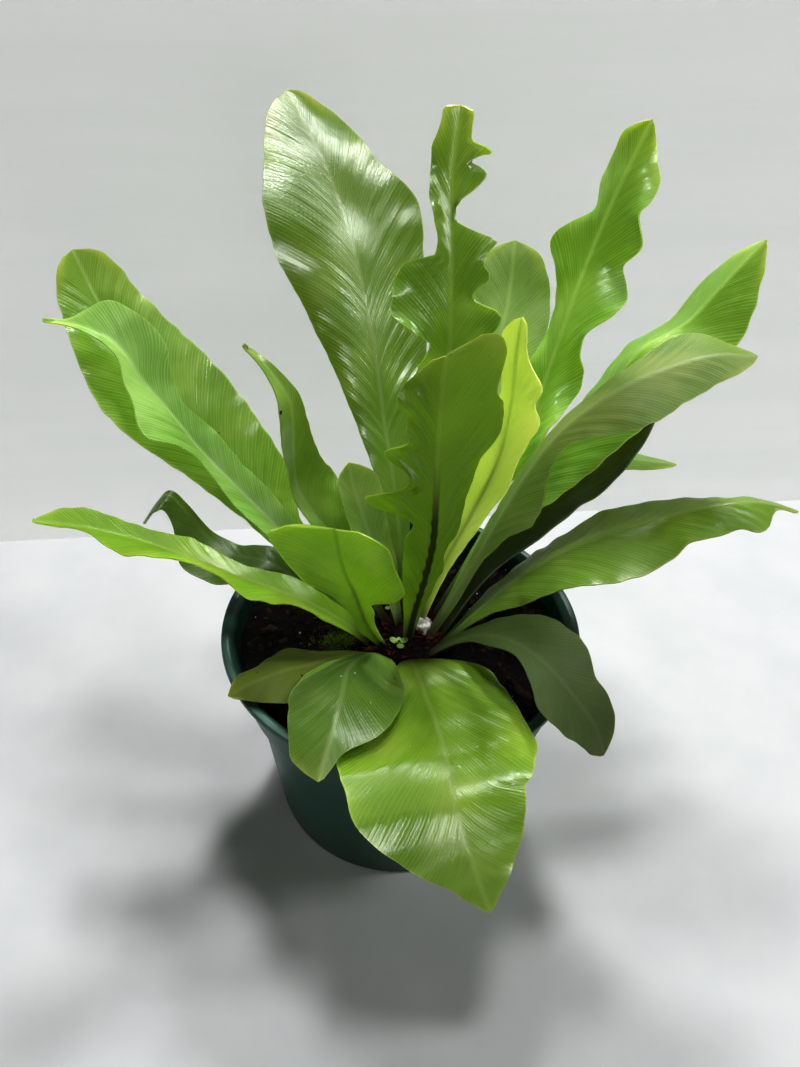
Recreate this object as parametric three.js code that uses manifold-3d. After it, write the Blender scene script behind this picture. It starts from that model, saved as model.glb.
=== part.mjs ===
// Potted bird's-nest fern: a plastic nursery pot filled with potting mix, a short scaly
// crown, and a rosette of strap-shaped fronds, each standing in its own socket in the crown.
// Millimetres, +Z up. The origin is the centre of the pot's flat underside.
import * as THREE from 'three';
import { mergeVertices } from 'three/addons/utils/BufferGeometryUtils.js';
import Module from 'manifold-3d';

const wasm = await Module();
wasm.setup();

// Pot
const POT_HEIGHT = 108;
const RIM_RADIUS = 80;
const RIM_BAND = 3;
const RIM_WIDTH = 3.5;
const EDGE_BREAK = 0.6;
const COLLAR_TOP_RADIUS = 76;
const COLLAR_BOTTOM_RADIUS = 72.3;
const COLLAR_BOTTOM_Z = 80;
const BODY_TOP_RADIUS = 68.6;
const BASE_RADIUS = 61;
const WALL = 1.7;
const FLOOR = 2;
const POT_SIDES = 48;
const DRAIN_HOLES = 8;
const DRAIN_RING_RADIUS = 50;
const DRAIN_HOLE_RADIUS = 5;
const DRAIN_HOLE_SIDES = 12;

// Potting mix, and what stands or lies on it
const CLEARANCE = 0.35;
const SOCKET_CLEARANCE = 0.55;
const MIX_LEVEL = 96.5;
const MIX_RINGS = 8;
// Loose lumps on the mix: height, waves along x and along y in radians per mm, and phase
const MIX_LUMPS = [[0.4, 0.41, 0.23, 0], [0.32, -0.19, 0.33, 1], [0.2, 0.77, -0.69, 0.9],
  [0.2, 0.77, 0.69, 3.3]];
const CROWN_CENTRE = [1, -2];
const CROWN_OUTLINE = [[17, 86], [20, 92], [20, 97.5], [18, 100.3], [14, 102.8], [9, 104.8]];
const CROWN_TOP_Z = 106;
const CROWN_SIDES = 32;
const SCALE_RELIEF = 0.6;
const SCALE_TWIST = 1.6;
const PERLITE_CENTRE = [11.2, 2.2, 104.6];
const PERLITE_RADII = [2.2, 2, 1.8];
const PERLITE_RELIEF = 0.12;
const SEEDLING_FOOT = [-0.6, -13.3, 98];
const SEEDLING_HEIGHT = 9;
const SEEDLING_STEM_RADIUS = 0.8;
const SEEDLING_LEAVES = [[165, 2.2], [35, 2], [268, 2.3]];
const SEEDLING_LEAF_THICKNESS = 0.8;
const SEEDLING_LEAF_TILT = -0.3;
const MOSS_CENTRE = [-28, -4];
const MOSS_OUTLINE = [[6, 93], [7, 96], [7, 97.6], [5.6, 98.8], [3.2, 99.3]];
const MOSS_TOP_Z = 99.6;
const MOSS_SIDES = 16;

// What all fronds share
const UPPER_SKIN = 0.35;
const MARGIN_THICKNESS = 0.75;
const RIB_TIP_THICKNESS = 1.2;
const RIB_BASE_THICKNESS = 3.2;
const RIB_TAPER_SHARE = 0.6;
const FULL_WAVE_WIDTH = 12;
const COLUMNS = [-1, -0.55, 0, 0.55, 1];
const SOCKET_LENGTH = 26;
const LEAST_HALF_WIDTH = 0.4;
const LEAST_BEND = 1e-4;
const AXIS_STEP = 0.01;

// One row for each frond. Heading is the direction that the frond leans to, in degrees
// anticlockwise from +X. The rib's route is [outward, to the left, up] from the crown's axis.
// Left and right are half-widths as [share of the length, mm]. Roll turns the blade about
// its rib, fold lifts each half from there, and curl bends it on towards the margin, each in
// degrees or as [share of the length, degrees]. Sweep is how far the margin runs ahead of its
// place on the rib, as [share of the length, mm]. A wave is [height, number, phase].
const FRONDS = {
  frond_back_left: {
    heading: 112, colour: 0x6f9e3a, steps: 17,
    rib: [[7, -1, 101], [14, -4, 125], [26, -6, 152], [50, -8, 187], [72, -10, 218], [92, -9, 246],
      [110, -4, 273], [126, 7, 300]],
    left: [[0, 1.8], [0.1, 3], [0.28, 7], [0.39, 12], [0.53, 21], [0.65, 28], [0.74, 34], [0.82, 34],
      [0.91, 25], [0.97, 15], [1, 8]],
    right: [[0, 1.8], [0.1, 3], [0.28, 10], [0.4, 18], [0.55, 27], [0.68, 32], [0.78, 34], [0.84, 24],
      [0.91, 18], [0.96, 12], [1, 5]],
    roll: 10, foldRight: 5, curlLeft: [[0, 0], [0.35, -25], [0.52, -55], [0.66, -45], [0.78, 0], [1, 0]],
    waveLeft: [1.5, 2, 0], waveRight: [2.5, 2.5, 0.3],
  },
  frond_back_lobed: {
    heading: 80, colour: 0x5f9126, steps: 54,
    rib: [[5, -3, 102], [15, -8, 152], [22, -10, 192], [29, -10, 230], [34, -8, 262], [38, -6, 290],
      [40, -7.5, 310]],
    left: [[0, 1.8], [0.15, 3], [0.35, 8], [0.55, 12], [0.6, 11], [0.625, 8], [0.64, 15], [0.66, 20.5],
      [0.7, 21.5], [0.73, 20], [0.745, 16], [0.755, 7], [0.77, 5], [0.82, 6.5], [0.86, 7], [0.9, 7.5],
      [0.925, 8], [0.94, 6.5], [0.96, 5.7], [1, 5.7]],
    right: [[0, 1.8], [0.15, 3], [0.35, 9], [0.5, 14], [0.6, 11], [0.62, 12], [0.64, 17], [0.66, 19],
      [0.675, 13], [0.685, 9.5], [0.7, 11], [0.715, 15], [0.73, 12], [0.75, 13], [0.768, 15.6], [0.78, 9],
      [0.795, 2.5], [0.83, 3], [0.85, 7], [0.875, 13], [0.895, 9], [0.903, 6], [0.92, 11],
      [0.935, 12], [0.948, 6], [0.96, 5.3], [1, 5.3]],
    foldLeft: 10, foldRight: 10, sweepLeft: [[0, 0], [0.6, 0], [0.72, 3], [0.95, 2], [1, 1]],
    sweepRight: [[0, 0], [0.6, 0], [0.7, 5], [0.9, 4], [0.95, 1], [1, 1]],
    waveLeft: [4, 5, 0.1], waveRight: [3, 6, 0.2],
  },
  frond_back: {
    heading: 78, colour: 0x7aa24c, steps: 14,
    rib: [[12, 0, 100], [21, -7, 121], [36, -13, 142], [62, -16, 166], [93, -19, 190], [117, -22, 214],
      [131, -21, 238]],
    left: [[0, 1.8], [0.15, 3], [0.3, 8], [0.5, 16], [0.7, 21], [0.85, 21], [0.93, 17], [0.98, 10], [1, 4]],
    right: [[0, 1.8], [0.15, 3], [0.3, 8], [0.5, 15], [0.7, 20], [0.85, 20], [0.93, 16], [0.98, 10], [1, 4]],
    waveLeft: [2, 2, 0], waveRight: [2, 2, 0.5],
  },
  frond_back_right: {
    heading: 42, colour: 0x6c9630, steps: 26,
    rib: [[12, 1, 101], [23, 0, 134], [41, -2, 158], [59, -5, 180], [79, -2, 217], [97, 0, 258],
      [106, -3, 284], [111, -6, 301]],
    left: [[0, 1.8], [0.15, 3], [0.35, 8], [0.5, 11], [0.66, 12], [0.73, 12], [0.78, 20], [0.81, 16],
      [0.84, 9], [0.885, 14], [0.93, 12], [0.97, 9], [1, 1]],
    right: [[0, 1.8], [0.15, 3], [0.3, 4], [0.4, 8], [0.49, 12], [0.57, 14], [0.63, 11], [0.69, 19],
      [0.72, 20], [0.77, 14], [0.83, 20], [0.86, 14], [0.91, 14], [0.95, 8], [1, 1]],
    foldLeft: -10, foldRight: -10, waveLeft: [4, 4, 0.2], waveRight: [5, 5, 0],
  },
  frond_left_high: {
    heading: 155, colour: 0x7ba646, steps: 17,
    rib: [[12, -2, 100], [35, 2, 120], [62, 4, 140], [84, 4, 166], [107, 4, 190], [128, 4, 212],
      [142, 2, 232], [151, 0, 250]],
    left: [[0, 1.8], [0.12, 3], [0.28, 5], [0.38, 8], [0.44, 12], [0.55, 20], [0.61, 25], [0.71, 28],
      [0.79, 23], [0.87, 18], [0.95, 13], [1, 6]],
    right: [[0, 1.8], [0.12, 4], [0.25, 9], [0.34, 16], [0.41, 22], [0.5, 24], [0.6, 25], [0.72, 24],
      [0.83, 20], [0.9, 16], [0.96, 13], [1, 7]],
    roll: -20, foldLeft: 15, foldRight: 15, waveLeft: [2, 2, 0], waveRight: [1.5, 2, 0],
  },
  frond_left_arching: {
    heading: 168, colour: 0x7fa84a, steps: 20,
    rib: [[12, 2, 101], [33, 3, 127], [55, 0, 150], [73, -4, 165], [90, -6, 182], [103, -8, 198],
      [112, -8, 211], [118, -9, 221], [124, -8, 227], [135, -7, 231], [147, -5, 232]],
    left: [[0, 1.8], [0.15, 3], [0.3, 6], [0.45, 9], [0.53, 6], [0.58, 5], [0.62, 9], [0.66, 18],
      [0.7, 20], [0.75, 13], [0.82, 6], [0.92, 3], [1, 1]],
    right: [[0, 1.8], [0.15, 3], [0.3, 7], [0.4, 9], [0.5, 9], [0.6, 10], [0.68, 7], [0.74, 11],
      [0.8, 16], [0.87, 15], [0.91, 13], [0.94, 4], [1, 1]],
    roll: -20, foldLeft: 20, foldRight: 15,
  },
  frond_right_high: {
    heading: 25, colour: 0x7ea83c, steps: 18,
    rib: [[14.5, -2, 99], [32, 1, 134], [55, 3, 162], [76, 4, 184], [93, 6, 201], [108, 7, 218],
      [129, 3, 231], [137, 1, 243], [151, -2, 261]],
    left: [[0, 1.8], [0.12, 3], [0.25, 8], [0.4, 13], [0.55, 16], [0.7, 18], [0.83, 22], [0.9, 21],
      [0.96, 15], [1, 2]],
    right: [[0, 1.8], [0.12, 3], [0.25, 8], [0.4, 15], [0.55, 21], [0.68, 26], [0.84, 22], [0.9, 17],
      [0.95, 10], [1, 1]],
    roll: -5, foldLeft: -25, foldRight: -22,
  },
  frond_right_arching: {
    heading: 14, colour: 0x8db55e, steps: 20,
    rib: [[6, -9, 100], [30, 1, 134], [44, 4, 162], [54, 4, 183], [65, 2, 201], [80, -1, 216],
      [98, -4, 226], [117, -8, 232], [130, -12, 232]],
    left: [[0, 1.8], [0.12, 3], [0.25, 5], [0.4, 6], [0.5, 6], [0.6, 6], [0.7, 8], [0.78, 12],
      [0.84, 18], [0.88, 22], [0.92, 19], [0.96, 11], [1, 3]],
    right: [[0, 1.8], [0.12, 3], [0.28, 4], [0.34, 8], [0.38, 13], [0.44, 13], [0.5, 8], [0.56, 5],
      [0.62, 8], [0.68, 14], [0.76, 18], [0.84, 15], [0.9, 12], [0.96, 8], [1, 2]],
    roll: 20, foldLeft: -25, foldRight: -15,
  },
  frond_right_shaded: {
    heading: 12, colour: 0x3d6b1f, steps: 14,
    rib: [[14, -5, 98], [34, 0, 127], [64, 6, 152], [76, 10, 161], [88, 12, 166], [98, 13, 176],
      [105, 14, 187], [110, 16, 198]],
    left: [[0, 1.8], [0.12, 3], [0.3, 8], [0.45, 18], [0.6, 28], [0.75, 30], [0.9, 20], [1, 3]],
    right: [[0, 1.8], [0.12, 3], [0.35, 3], [0.5, 8], [0.6, 11], [0.7, 9], [0.8, 6], [0.92, 4], [1, 1]],
    foldLeft: 5, foldRight: 20,
  },
  frond_right_back_low: {
    heading: 30, colour: 0x647f45, steps: 14,
    rib: [[14, 2, 97], [29, 5, 112], [46, 10, 123], [77, 17, 142], [100, 17, 151], [118, 14, 153],
      [135, 6, 151], [151, -2, 148]],
    left: [[0, 1.8], [0.15, 3], [0.4, 9], [0.65, 11], [0.85, 8], [0.95, 6], [1, 1]],
    right: [[0, 1.8], [0.15, 3], [0.4, 9], [0.65, 11], [0.85, 7], [0.95, 4], [1, 1]],
    foldLeft: -10, foldRight: -20,
  },
  frond_right_low: {
    heading: 2, colour: 0x6f9445, steps: 20,
    rib: [[11.5, -9, 97], [42, 0, 127], [60, 1, 144], [81, 2, 156], [101, 3, 164], [120, 4, 170],
      [143, 3, 174], [160, 2, 170]],
    left: [[0, 1.8], [0.1, 3], [0.2, 8], [0.32, 16], [0.44, 18], [0.55, 21], [0.65, 17], [0.75, 12],
      [0.85, 8], [0.95, 5], [1, 1]],
    right: [[0, 1.8], [0.1, 3], [0.21, 7], [0.33, 15], [0.43, 20], [0.55, 24], [0.65, 22], [0.73, 17],
      [0.77, 18], [0.83, 14], [0.87, 15], [0.905, 13], [0.93, 5], [1, 1]],
    foldLeft: -15, foldRight: -10, waveLeft: [1.5, 2, 0], waveRight: [2, 3, 0],
  },
  frond_centre: {
    heading: -60, colour: 0x74ac1e, steps: 34,
    rib: [[7, -2, 102], [9, 0, 123], [13, 2, 146], [16, 3, 166], [18, 2, 187], [19, 1, 210], [21, 0, 231],
      [22, 0, 248]],
    left: [[0, 1.8], [0.12, 4], [0.25, 7], [0.41, 9.5], [0.5, 14], [0.61, 17.5], [0.66, 19], [0.72, 26],
      [0.77, 29], [0.82, 27], [0.86, 23], [0.9, 26], [0.94, 26], [0.98, 21], [1, 17]],
    right: [[0, 1.8], [0.12, 4], [0.25, 8], [0.42, 11], [0.53, 13], [0.56, 23], [0.6, 25], [0.625, 15],
      [0.68, 12], [0.7, 17], [0.735, 18], [0.755, 12], [0.8, 11], [0.85, 12], [0.89, 15], [0.94, 10],
      [1, 3]],
    foldLeft: -12, foldRight: 30, curlLeft: [[0, 20], [0.5, 30], [1, 25]],
    sweepLeft: [[0, 0], [0.7, 1], [0.9, 2], [0.95, 5], [1, 10]],
  },
  frond_centre_yellow: {
    heading: 50, colour: 0xb5cf4a, steps: 22,
    rib: [[2, -5, 102], [16, -9, 138], [24, -13, 157], [31, -16, 173], [35, -19, 189], [38, -19, 204],
      [39, -19, 221], [40, -18, 235], [41, -18, 245]],
    left: [[0, 1.8], [0.2, 4], [0.4, 7], [0.6, 8], [0.8, 5], [0.9, 6], [0.96, 6], [1, 2]],
    right: [[0, 1.8], [0.2, 3], [0.4, 6], [0.5, 8], [0.55, 10], [0.62, 9], [0.7, 12], [0.77, 15],
      [0.8, 12], [0.85, 14], [0.9, 6], [0.95, 4], [1, 2]],
    foldLeft: 10, foldRight: 10,
  },
  frond_left_folded: {
    heading: 150, colour: 0x72a93a, steps: 20,
    rib: [[7, 1, 102], [26, 3, 136], [40, 6, 154], [49, 7, 167], [51, 6, 186], [51, 5, 197], [53, 4, 208],
      [57, 5, 215], [62, 7, 222], [69, 9, 228]],
    left: [[0, 1.8], [0.2, 4], [0.4, 6], [0.5, 6], [0.6, 5], [0.68, 9], [0.74, 11], [0.8, 10], [0.88, 5],
      [1, 1]],
    right: [[0, 1.8], [0.2, 4], [0.35, 14], [0.45, 20], [0.52, 20], [0.62, 14], [0.72, 9], [0.8, 6],
      [0.9, 3], [1, 1]],
    foldLeft: 15, foldRight: 10,
  },
  frond_left_short: {
    heading: 130, colour: 0x82ad55, steps: 12,
    rib: [[2, 0, 102], [11, 2, 133], [21, 4, 150], [28, 4, 162], [32, 4, 170], [35, 3, 177]],
    left: [[0, 1.8], [0.2, 3], [0.45, 6], [0.7, 8], [0.85, 8], [0.93, 7], [1, 1]],
    right: [[0, 1.8], [0.2, 3], [0.45, 7], [0.7, 11], [0.85, 12], [0.95, 9], [1, 2]],
    foldLeft: 10, foldRight: 10,
  },
  frond_front_young: {
    heading: 105, colour: 0xa4d52a, steps: 24,
    rib: [[-6, 9, 99], [-7, 17, 116], [-7, 23, 137], [-7, 27, 150], [-6, 29, 162], [-6, 30, 171]],
    left: [[0, 1.8], [0.15, 3], [0.28, 5], [0.4, 5], [0.52, 7], [0.65, 12], [0.73, 18], [0.81, 22],
      [0.88, 25], [0.94, 27], [0.98, 26], [1, 22]],
    right: [[0, 1.8], [0.15, 3], [0.4, 6], [0.5, 9], [0.55, 20], [0.6, 25], [0.67, 26], [0.78, 25],
      [0.89, 22], [0.95, 18], [1, 12]],
    foldLeft: -20, foldRight: 42, curlLeft: [[0, 40], [1, 60]],
    sweepLeft: [[0, 0], [0.6, 0], [0.85, 8], [0.95, 14], [1, 17]], sweepRight: [[0, 0], [0.6, 0], [1, 6]],
  },
  frond_left_low: {
    heading: 183, colour: 0x84b53a, steps: 22,
    rib: [[13, 5, 97], [24, 5, 111], [45, 5, 128], [70, 2, 138], [85, 1, 146], [105, -1, 154],
      [129, -4, 160], [151, -5, 163]],
    left: [[0, 1.8], [0.12, 5], [0.2, 7], [0.3, 6], [0.36, 11], [0.43, 12], [0.5, 6], [0.6, 4],
      [0.68, 9], [0.74, 13], [0.8, 9], [0.86, 3], [0.95, 2], [1, 1]],
    right: [[0, 1.8], [0.1, 5], [0.2, 6], [0.3, 8], [0.38, 7], [0.46, 6], [0.55, 7], [0.6, 8], [0.7, 6],
      [0.8, 7], [0.88, 8], [0.95, 6], [1, 1]],
    roll: -10, foldLeft: 20, foldRight: 20,
  },
  frond_left_back_low: {
    heading: 166, colour: 0x4f7a35, steps: 22,
    rib: [[15, -1, 98], [40, -2, 112], [67, -2, 127], [83, -4, 126], [97, -7, 131], [107, -9, 143],
      [114, -9, 149], [120, -8, 143], [127, -5, 133]],
    left: [[0, 1.8], [0.15, 4], [0.3, 9], [0.42, 15], [0.55, 20], [0.66, 20], [0.75, 12], [0.82, 9],
      [0.88, 13], [0.94, 9], [1, 1]],
    right: [[0, 1.8], [0.15, 4], [0.3, 8], [0.42, 9], [0.55, 6], [0.68, 4], [0.78, 3], [0.85, 3], [1, 1]],
    foldLeft: -5, foldRight: 10,
  },
  frond_front_right: {
    heading: -36, colour: 0x67883b, steps: 16,
    rib: [[13.5, -5.5, 98], [27, 4, 111], [41, 5, 122], [57, 2, 129], [73, -2, 129], [85, -3, 122],
      [96, -2, 110], [101, -1, 97]],
    left: [[0, 1.8], [0.16, 4], [0.32, 8], [0.43, 15], [0.54, 18], [0.64, 18], [0.74, 13], [0.84, 12],
      [0.92, 9], [0.97, 5], [1, 1]],
    right: [[0, 1.8], [0.2, 3], [0.39, 6], [0.52, 6], [0.6, 10], [0.68, 16], [0.76, 15], [0.86, 11],
      [0.94, 7], [1, 1]],
    roll: 10, foldLeft: 5, foldRight: 5,
  },
  frond_front: {
    heading: -76, colour: 0x86b233, steps: 18,
    rib: [[14, -1.5, 98], [19, -1, 104], [25, -1, 107], [41, -1, 109], [62, -1, 112.5], [80, -2, 114.5],
      [92, -3, 111], [105, 0, 95], [116, 7, 69]],
    left: [[0, 1.8], [0.05, 4], [0.1, 20], [0.15, 29], [0.25, 34], [0.38, 35], [0.5, 36], [0.6, 30],
      [0.76, 24], [0.84, 18], [0.92, 10], [1, 1]],
    right: [[0, 1.8], [0.05, 4], [0.1, 8], [0.17, 16], [0.24, 26], [0.33, 36], [0.42, 40], [0.55, 39],
      [0.64, 36], [0.7, 30], [0.78, 22], [0.86, 13], [0.93, 7], [1, 1]],
    foldLeft: -5, foldRight: -5,
  },
  frond_front_left: {
    heading: -108, colour: 0x759d46, steps: 16,
    rib: [[14, 0, 97], [21, -6, 107], [38, -10, 115], [58, -6, 119], [75, -3, 117], [90, -2, 110]],
    left: [[0, 1.8], [0.08, 5], [0.16, 13], [0.25, 20], [0.36, 24], [0.55, 24], [0.65, 22], [0.75, 18],
      [0.8, 13], [0.85, 7], [0.92, 4], [1, 1]],
    right: [[0, 1.8], [0.2, 3], [0.3, 5], [0.39, 12], [0.49, 18], [0.57, 21], [0.68, 20], [0.8, 18],
      [0.88, 16], [0.95, 12], [1, 4]],
    foldLeft: -10, foldRight: -10,
  },
  frond_left_yellow: {
    heading: 212, colour: 0x8b8f3a, steps: 14,
    rib: [[13.5, 4, 97], [30, 1, 104], [47, 3, 109], [62, 4, 114], [75, 4, 114], [84, 3, 111]],
    left: [[0, 1.8], [0.2, 4], [0.4, 10], [0.55, 14], [0.7, 15], [0.8, 12], [0.88, 8], [0.95, 4], [1, 1]],
    right: [[0, 1.8], [0.2, 4], [0.31, 6], [0.38, 10], [0.45, 16], [0.55, 16], [0.66, 13], [0.76, 10],
      [0.86, 9], [0.94, 8], [1, 1]],
    foldLeft: -15, foldRight: -15,
  },
};

const radians = (degrees) => (degrees * Math.PI) / 180;

function slopeAt(xs, ys, i) {
  const last = xs.length - 1;
  const rise = (k) => (ys[k + 1] - ys[k]) / (xs[k + 1] - xs[k]);
  if (i === 0) return rise(0);
  if (i === last) return rise(last - 1);
  const before = xs[i] - xs[i - 1];
  const after = xs[i + 1] - xs[i];
  return (rise(i - 1) * after + rise(i) * before) / (before + after);
}

// A smooth curve through the points (xs, ys)
function curve(xs, ys, x) {
  const last = xs.length - 1;
  const at = Math.min(Math.max(x, xs[0]), xs[last]);
  let i = 0;
  while (i < last - 1 && at > xs[i + 1]) i += 1;
  const span = xs[i + 1] - xs[i];
  const s = (at - xs[i]) / span;
  const start = (1 + 2 * s) * (1 - s) ** 2 * ys[i] + s * (1 - s) ** 2 * span * slopeAt(xs, ys, i);
  const end = s * s * (3 - 2 * s) * ys[i + 1] + s * s * (s - 1) * span * slopeAt(xs, ys, i + 1);
  return start + end;
}

function lookUp(table, t, fallback = 0) {
  if (table === undefined) return fallback;
  if (typeof table === 'number') return table;
  return curve(table.map((row) => row[0]), table.map((row) => row[1]), t);
}

// The rib as a function of the share of its length: where it is, and the blade's own axes
function ribOf(frond) {
  const heading = radians(frond.heading);
  const outward = new THREE.Vector3(Math.cos(heading), Math.sin(heading), 0);
  const leftward = new THREE.Vector3(-Math.sin(heading), Math.cos(heading), 0);
  const points = frond.rib.map(([out, left, up]) => new THREE.Vector3(...CROWN_CENTRE, up)
    .addScaledVector(outward, out)
    .addScaledVector(leftward, left));
  const marks = [0];
  points.slice(1).forEach((point, i) => marks.push(marks[i] + point.distanceTo(points[i])));
  const length = marks[marks.length - 1];
  const place = (t) => {
    const at = t * length;
    return new THREE.Vector3(...['x', 'y', 'z'].map((k) => curve(marks, points.map((p) => p[k]), at)));
  };
  const axes = (t) => {
    const along = place(Math.min(t + AXIS_STEP, 1)).sub(place(Math.max(t - AXIS_STEP, 0))).normalize();
    const across = leftward.clone().addScaledVector(along, -along.dot(leftward)).normalize();
    const upper = along.clone().cross(across);
    const roll = radians(lookUp(frond.roll, t));
    return {
      along,
      left: across.clone().multiplyScalar(Math.cos(roll)).addScaledVector(upper, Math.sin(roll)),
      upper: upper.clone().multiplyScalar(Math.cos(roll)).addScaledVector(across, -Math.sin(roll)),
    };
  };
  return { length, place, axes };
}

// A point of the blade's middle surface: t runs along the rib, u from -1 (right margin) to 1
function bladePoint(frond, rib, t, u) {
  const isLeft = u >= 0;
  const q = Math.abs(u);
  const { along, left, upper } = rib.axes(t);
  const width = Math.max(lookUp(isLeft ? frond.left : frond.right, t), LEAST_HALF_WIDTH);
  const fold = radians(lookUp(isLeft ? frond.foldLeft : frond.foldRight, t));
  const bend = radians(lookUp(isLeft ? frond.curlLeft : frond.curlRight, t)) || LEAST_BEND;
  const slope = fold + bend * q;
  const [height, number, phase] = (isLeft ? frond.waveLeft : frond.waveRight) ?? [0, 1, 0];
  const wave = height * q * q * Math.sin(2 * Math.PI * (number * t + phase))
    * Math.min(width / FULL_WAVE_WIDTH, 1);
  const across = width * (Math.sin(slope) - Math.sin(fold)) / bend - wave * Math.sin(slope);
  const lift = width * (Math.cos(fold) - Math.cos(slope)) / bend + wave * Math.cos(slope);
  const sweep = lookUp(isLeft ? frond.sweepLeft : frond.sweepRight, t) * q;
  return rib.place(t)
    .addScaledVector(left, isLeft ? across : -across)
    .addScaledVector(upper, lift)
    .addScaledVector(along, sweep);
}

function ribThickness(t) {
  const share = Math.min(t / RIB_TAPER_SHARE, 1);
  return RIB_BASE_THICKNESS + (RIB_TIP_THICKNESS - RIB_BASE_THICKNESS) * share;
}

// A closed sheet between an upper and a lower face, both split into triangles alike
function sheetGeometry(upperRows, lowerRows) {
  const rows = upperRows.length;
  const columns = upperRows[0].length;
  const positions = [];
  upperRows.forEach((row, i) => [...row, ...lowerRows[i]].forEach((p) => positions.push(p.x, p.y, p.z)));
  const top = (i, j) => i * 2 * columns + j;
  const bottom = (i, j) => top(i, j) + columns;
  const faces = [];
  for (let i = 0; i < rows - 1; i += 1) {
    for (let j = 0; j < columns - 1; j += 1) {
      faces.push(top(i, j), top(i + 1, j), top(i + 1, j + 1), top(i, j), top(i + 1, j + 1), top(i, j + 1));
      faces.push(bottom(i, j), bottom(i + 1, j + 1), bottom(i + 1, j));
      faces.push(bottom(i, j), bottom(i, j + 1), bottom(i + 1, j + 1));
    }
    const left = columns - 1;
    faces.push(top(i, left), top(i + 1, left), bottom(i + 1, left));
    faces.push(top(i, left), bottom(i + 1, left), bottom(i, left));
    faces.push(top(i, 0), bottom(i + 1, 0), top(i + 1, 0), top(i, 0), bottom(i, 0), bottom(i + 1, 0));
  }
  const tip = rows - 1;
  for (let j = 0; j < columns - 1; j += 1) {
    faces.push(top(0, j), top(0, j + 1), bottom(0, j + 1), top(0, j), bottom(0, j + 1), bottom(0, j));
    faces.push(top(tip, j), bottom(tip, j + 1), top(tip, j + 1));
    faces.push(top(tip, j), bottom(tip, j), bottom(tip, j + 1));
  }
  const geometry = new THREE.BufferGeometry();
  geometry.setAttribute('position', new THREE.Float32BufferAttribute(positions, 3));
  geometry.setIndex(faces);
  return geometry;
}

// The blade with its thickness: thin at the margins, with the rib as a keel underneath.
// Spare is extra room all round, for the socket that the stalk stands in.
function frondGeometry(frond, shares, spare = 0) {
  const rib = ribOf(frond);
  const middle = shares.map((t) => COLUMNS.map((u) => bladePoint(frond, rib, t, u)));
  const last = shares.length - 1;
  const end = COLUMNS.length - 1;
  const upperRows = [];
  const lowerRows = [];
  shares.forEach((t, i) => {
    upperRows.push([]);
    lowerRows.push([]);
    const { along, left } = rib.axes(t);
    COLUMNS.forEach((u, j) => {
      const lengthwise = middle[Math.min(i + 1, last)][j].clone().sub(middle[Math.max(i - 1, 0)][j]);
      const crosswise = middle[i][Math.min(j + 1, end)].clone().sub(middle[i][Math.max(j - 1, 0)]);
      const normal = lengthwise.cross(crosswise).normalize();
      const nearRib = (1 - Math.abs(u)) ** 2;
      const thickness = MARGIN_THICKNESS + (ribThickness(t) - MARGIN_THICKNESS) * nearRib;
      const point = middle[i][j].clone().addScaledVector(left, Math.sign(u) * spare);
      if (i === 0) point.addScaledVector(along, -spare);
      upperRows[i].push(point.clone().addScaledVector(normal, UPPER_SKIN + spare));
      lowerRows[i].push(point.clone().addScaledVector(normal, UPPER_SKIN - thickness - spare));
    });
  });
  return sheetGeometry(upperRows, lowerRows);
}

function evenShares(steps) {
  return Array.from({ length: steps + 1 }, (_, i) => i / steps);
}

function toSolid(geometry) {
  const bare = geometry.clone();
  bare.deleteAttribute('normal');
  bare.deleteAttribute('uv');
  const merged = mergeVertices(bare, 1e-4);
  return new wasm.Manifold(new wasm.Mesh({
    numProp: 3,
    vertProperties: new Float32Array(merged.attributes.position.array),
    triVerts: new Uint32Array(merged.index.array),
  }));
}

function toGeometry(solid) {
  const mesh = solid.getMesh();
  const geometry = new THREE.BufferGeometry();
  geometry.setAttribute('position', new THREE.Float32BufferAttribute(Array.from(mesh.vertProperties), 3));
  geometry.setIndex(Array.from(mesh.triVerts));
  return geometry;
}

// A body turned about the vertical, from a [radius, height] outline that ends on the axis
function turned(outline, sides) {
  const points = outline.map(([radius, height]) => new THREE.Vector2(radius, height));
  return new THREE.LatheGeometry(points, sides).rotateX(Math.PI / 2);
}

// A turned outline from foot to top, with spare room all round for the hole that it stands in
function grown(outline, top, spare) {
  const foot = [outline[0][0] + spare, outline[0][1] - spare];
  const sides = outline.slice(1, 3).map(([radius, z]) => [radius + spare, z]);
  const shoulder = outline.slice(3).map(([radius, z]) => [radius + spare, z + spare]);
  return [[0, foot[1]], foot, ...sides, ...shoulder, [0, top + spare]];
}

function moveEach(geometry, move) {
  const positions = geometry.attributes.position;
  for (let i = 0; i < positions.count; i += 1) {
    positions.setXYZ(i, ...move(positions.getX(i), positions.getY(i), positions.getZ(i)));
  }
  return geometry;
}

// Pot wall outlines
const collarInside = COLLAR_TOP_RADIUS - WALL;
const bodyInside = BODY_TOP_RADIUS - WALL;
const rimFoot = POT_HEIGHT - RIM_BAND;
const potInside = [
  [0, FLOOR], [BASE_RADIUS - WALL, FLOOR], [bodyInside, COLLAR_BOTTOM_Z - WALL],
  [COLLAR_BOTTOM_RADIUS - WALL, COLLAR_BOTTOM_Z], [collarInside, rimFoot],
];

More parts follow.
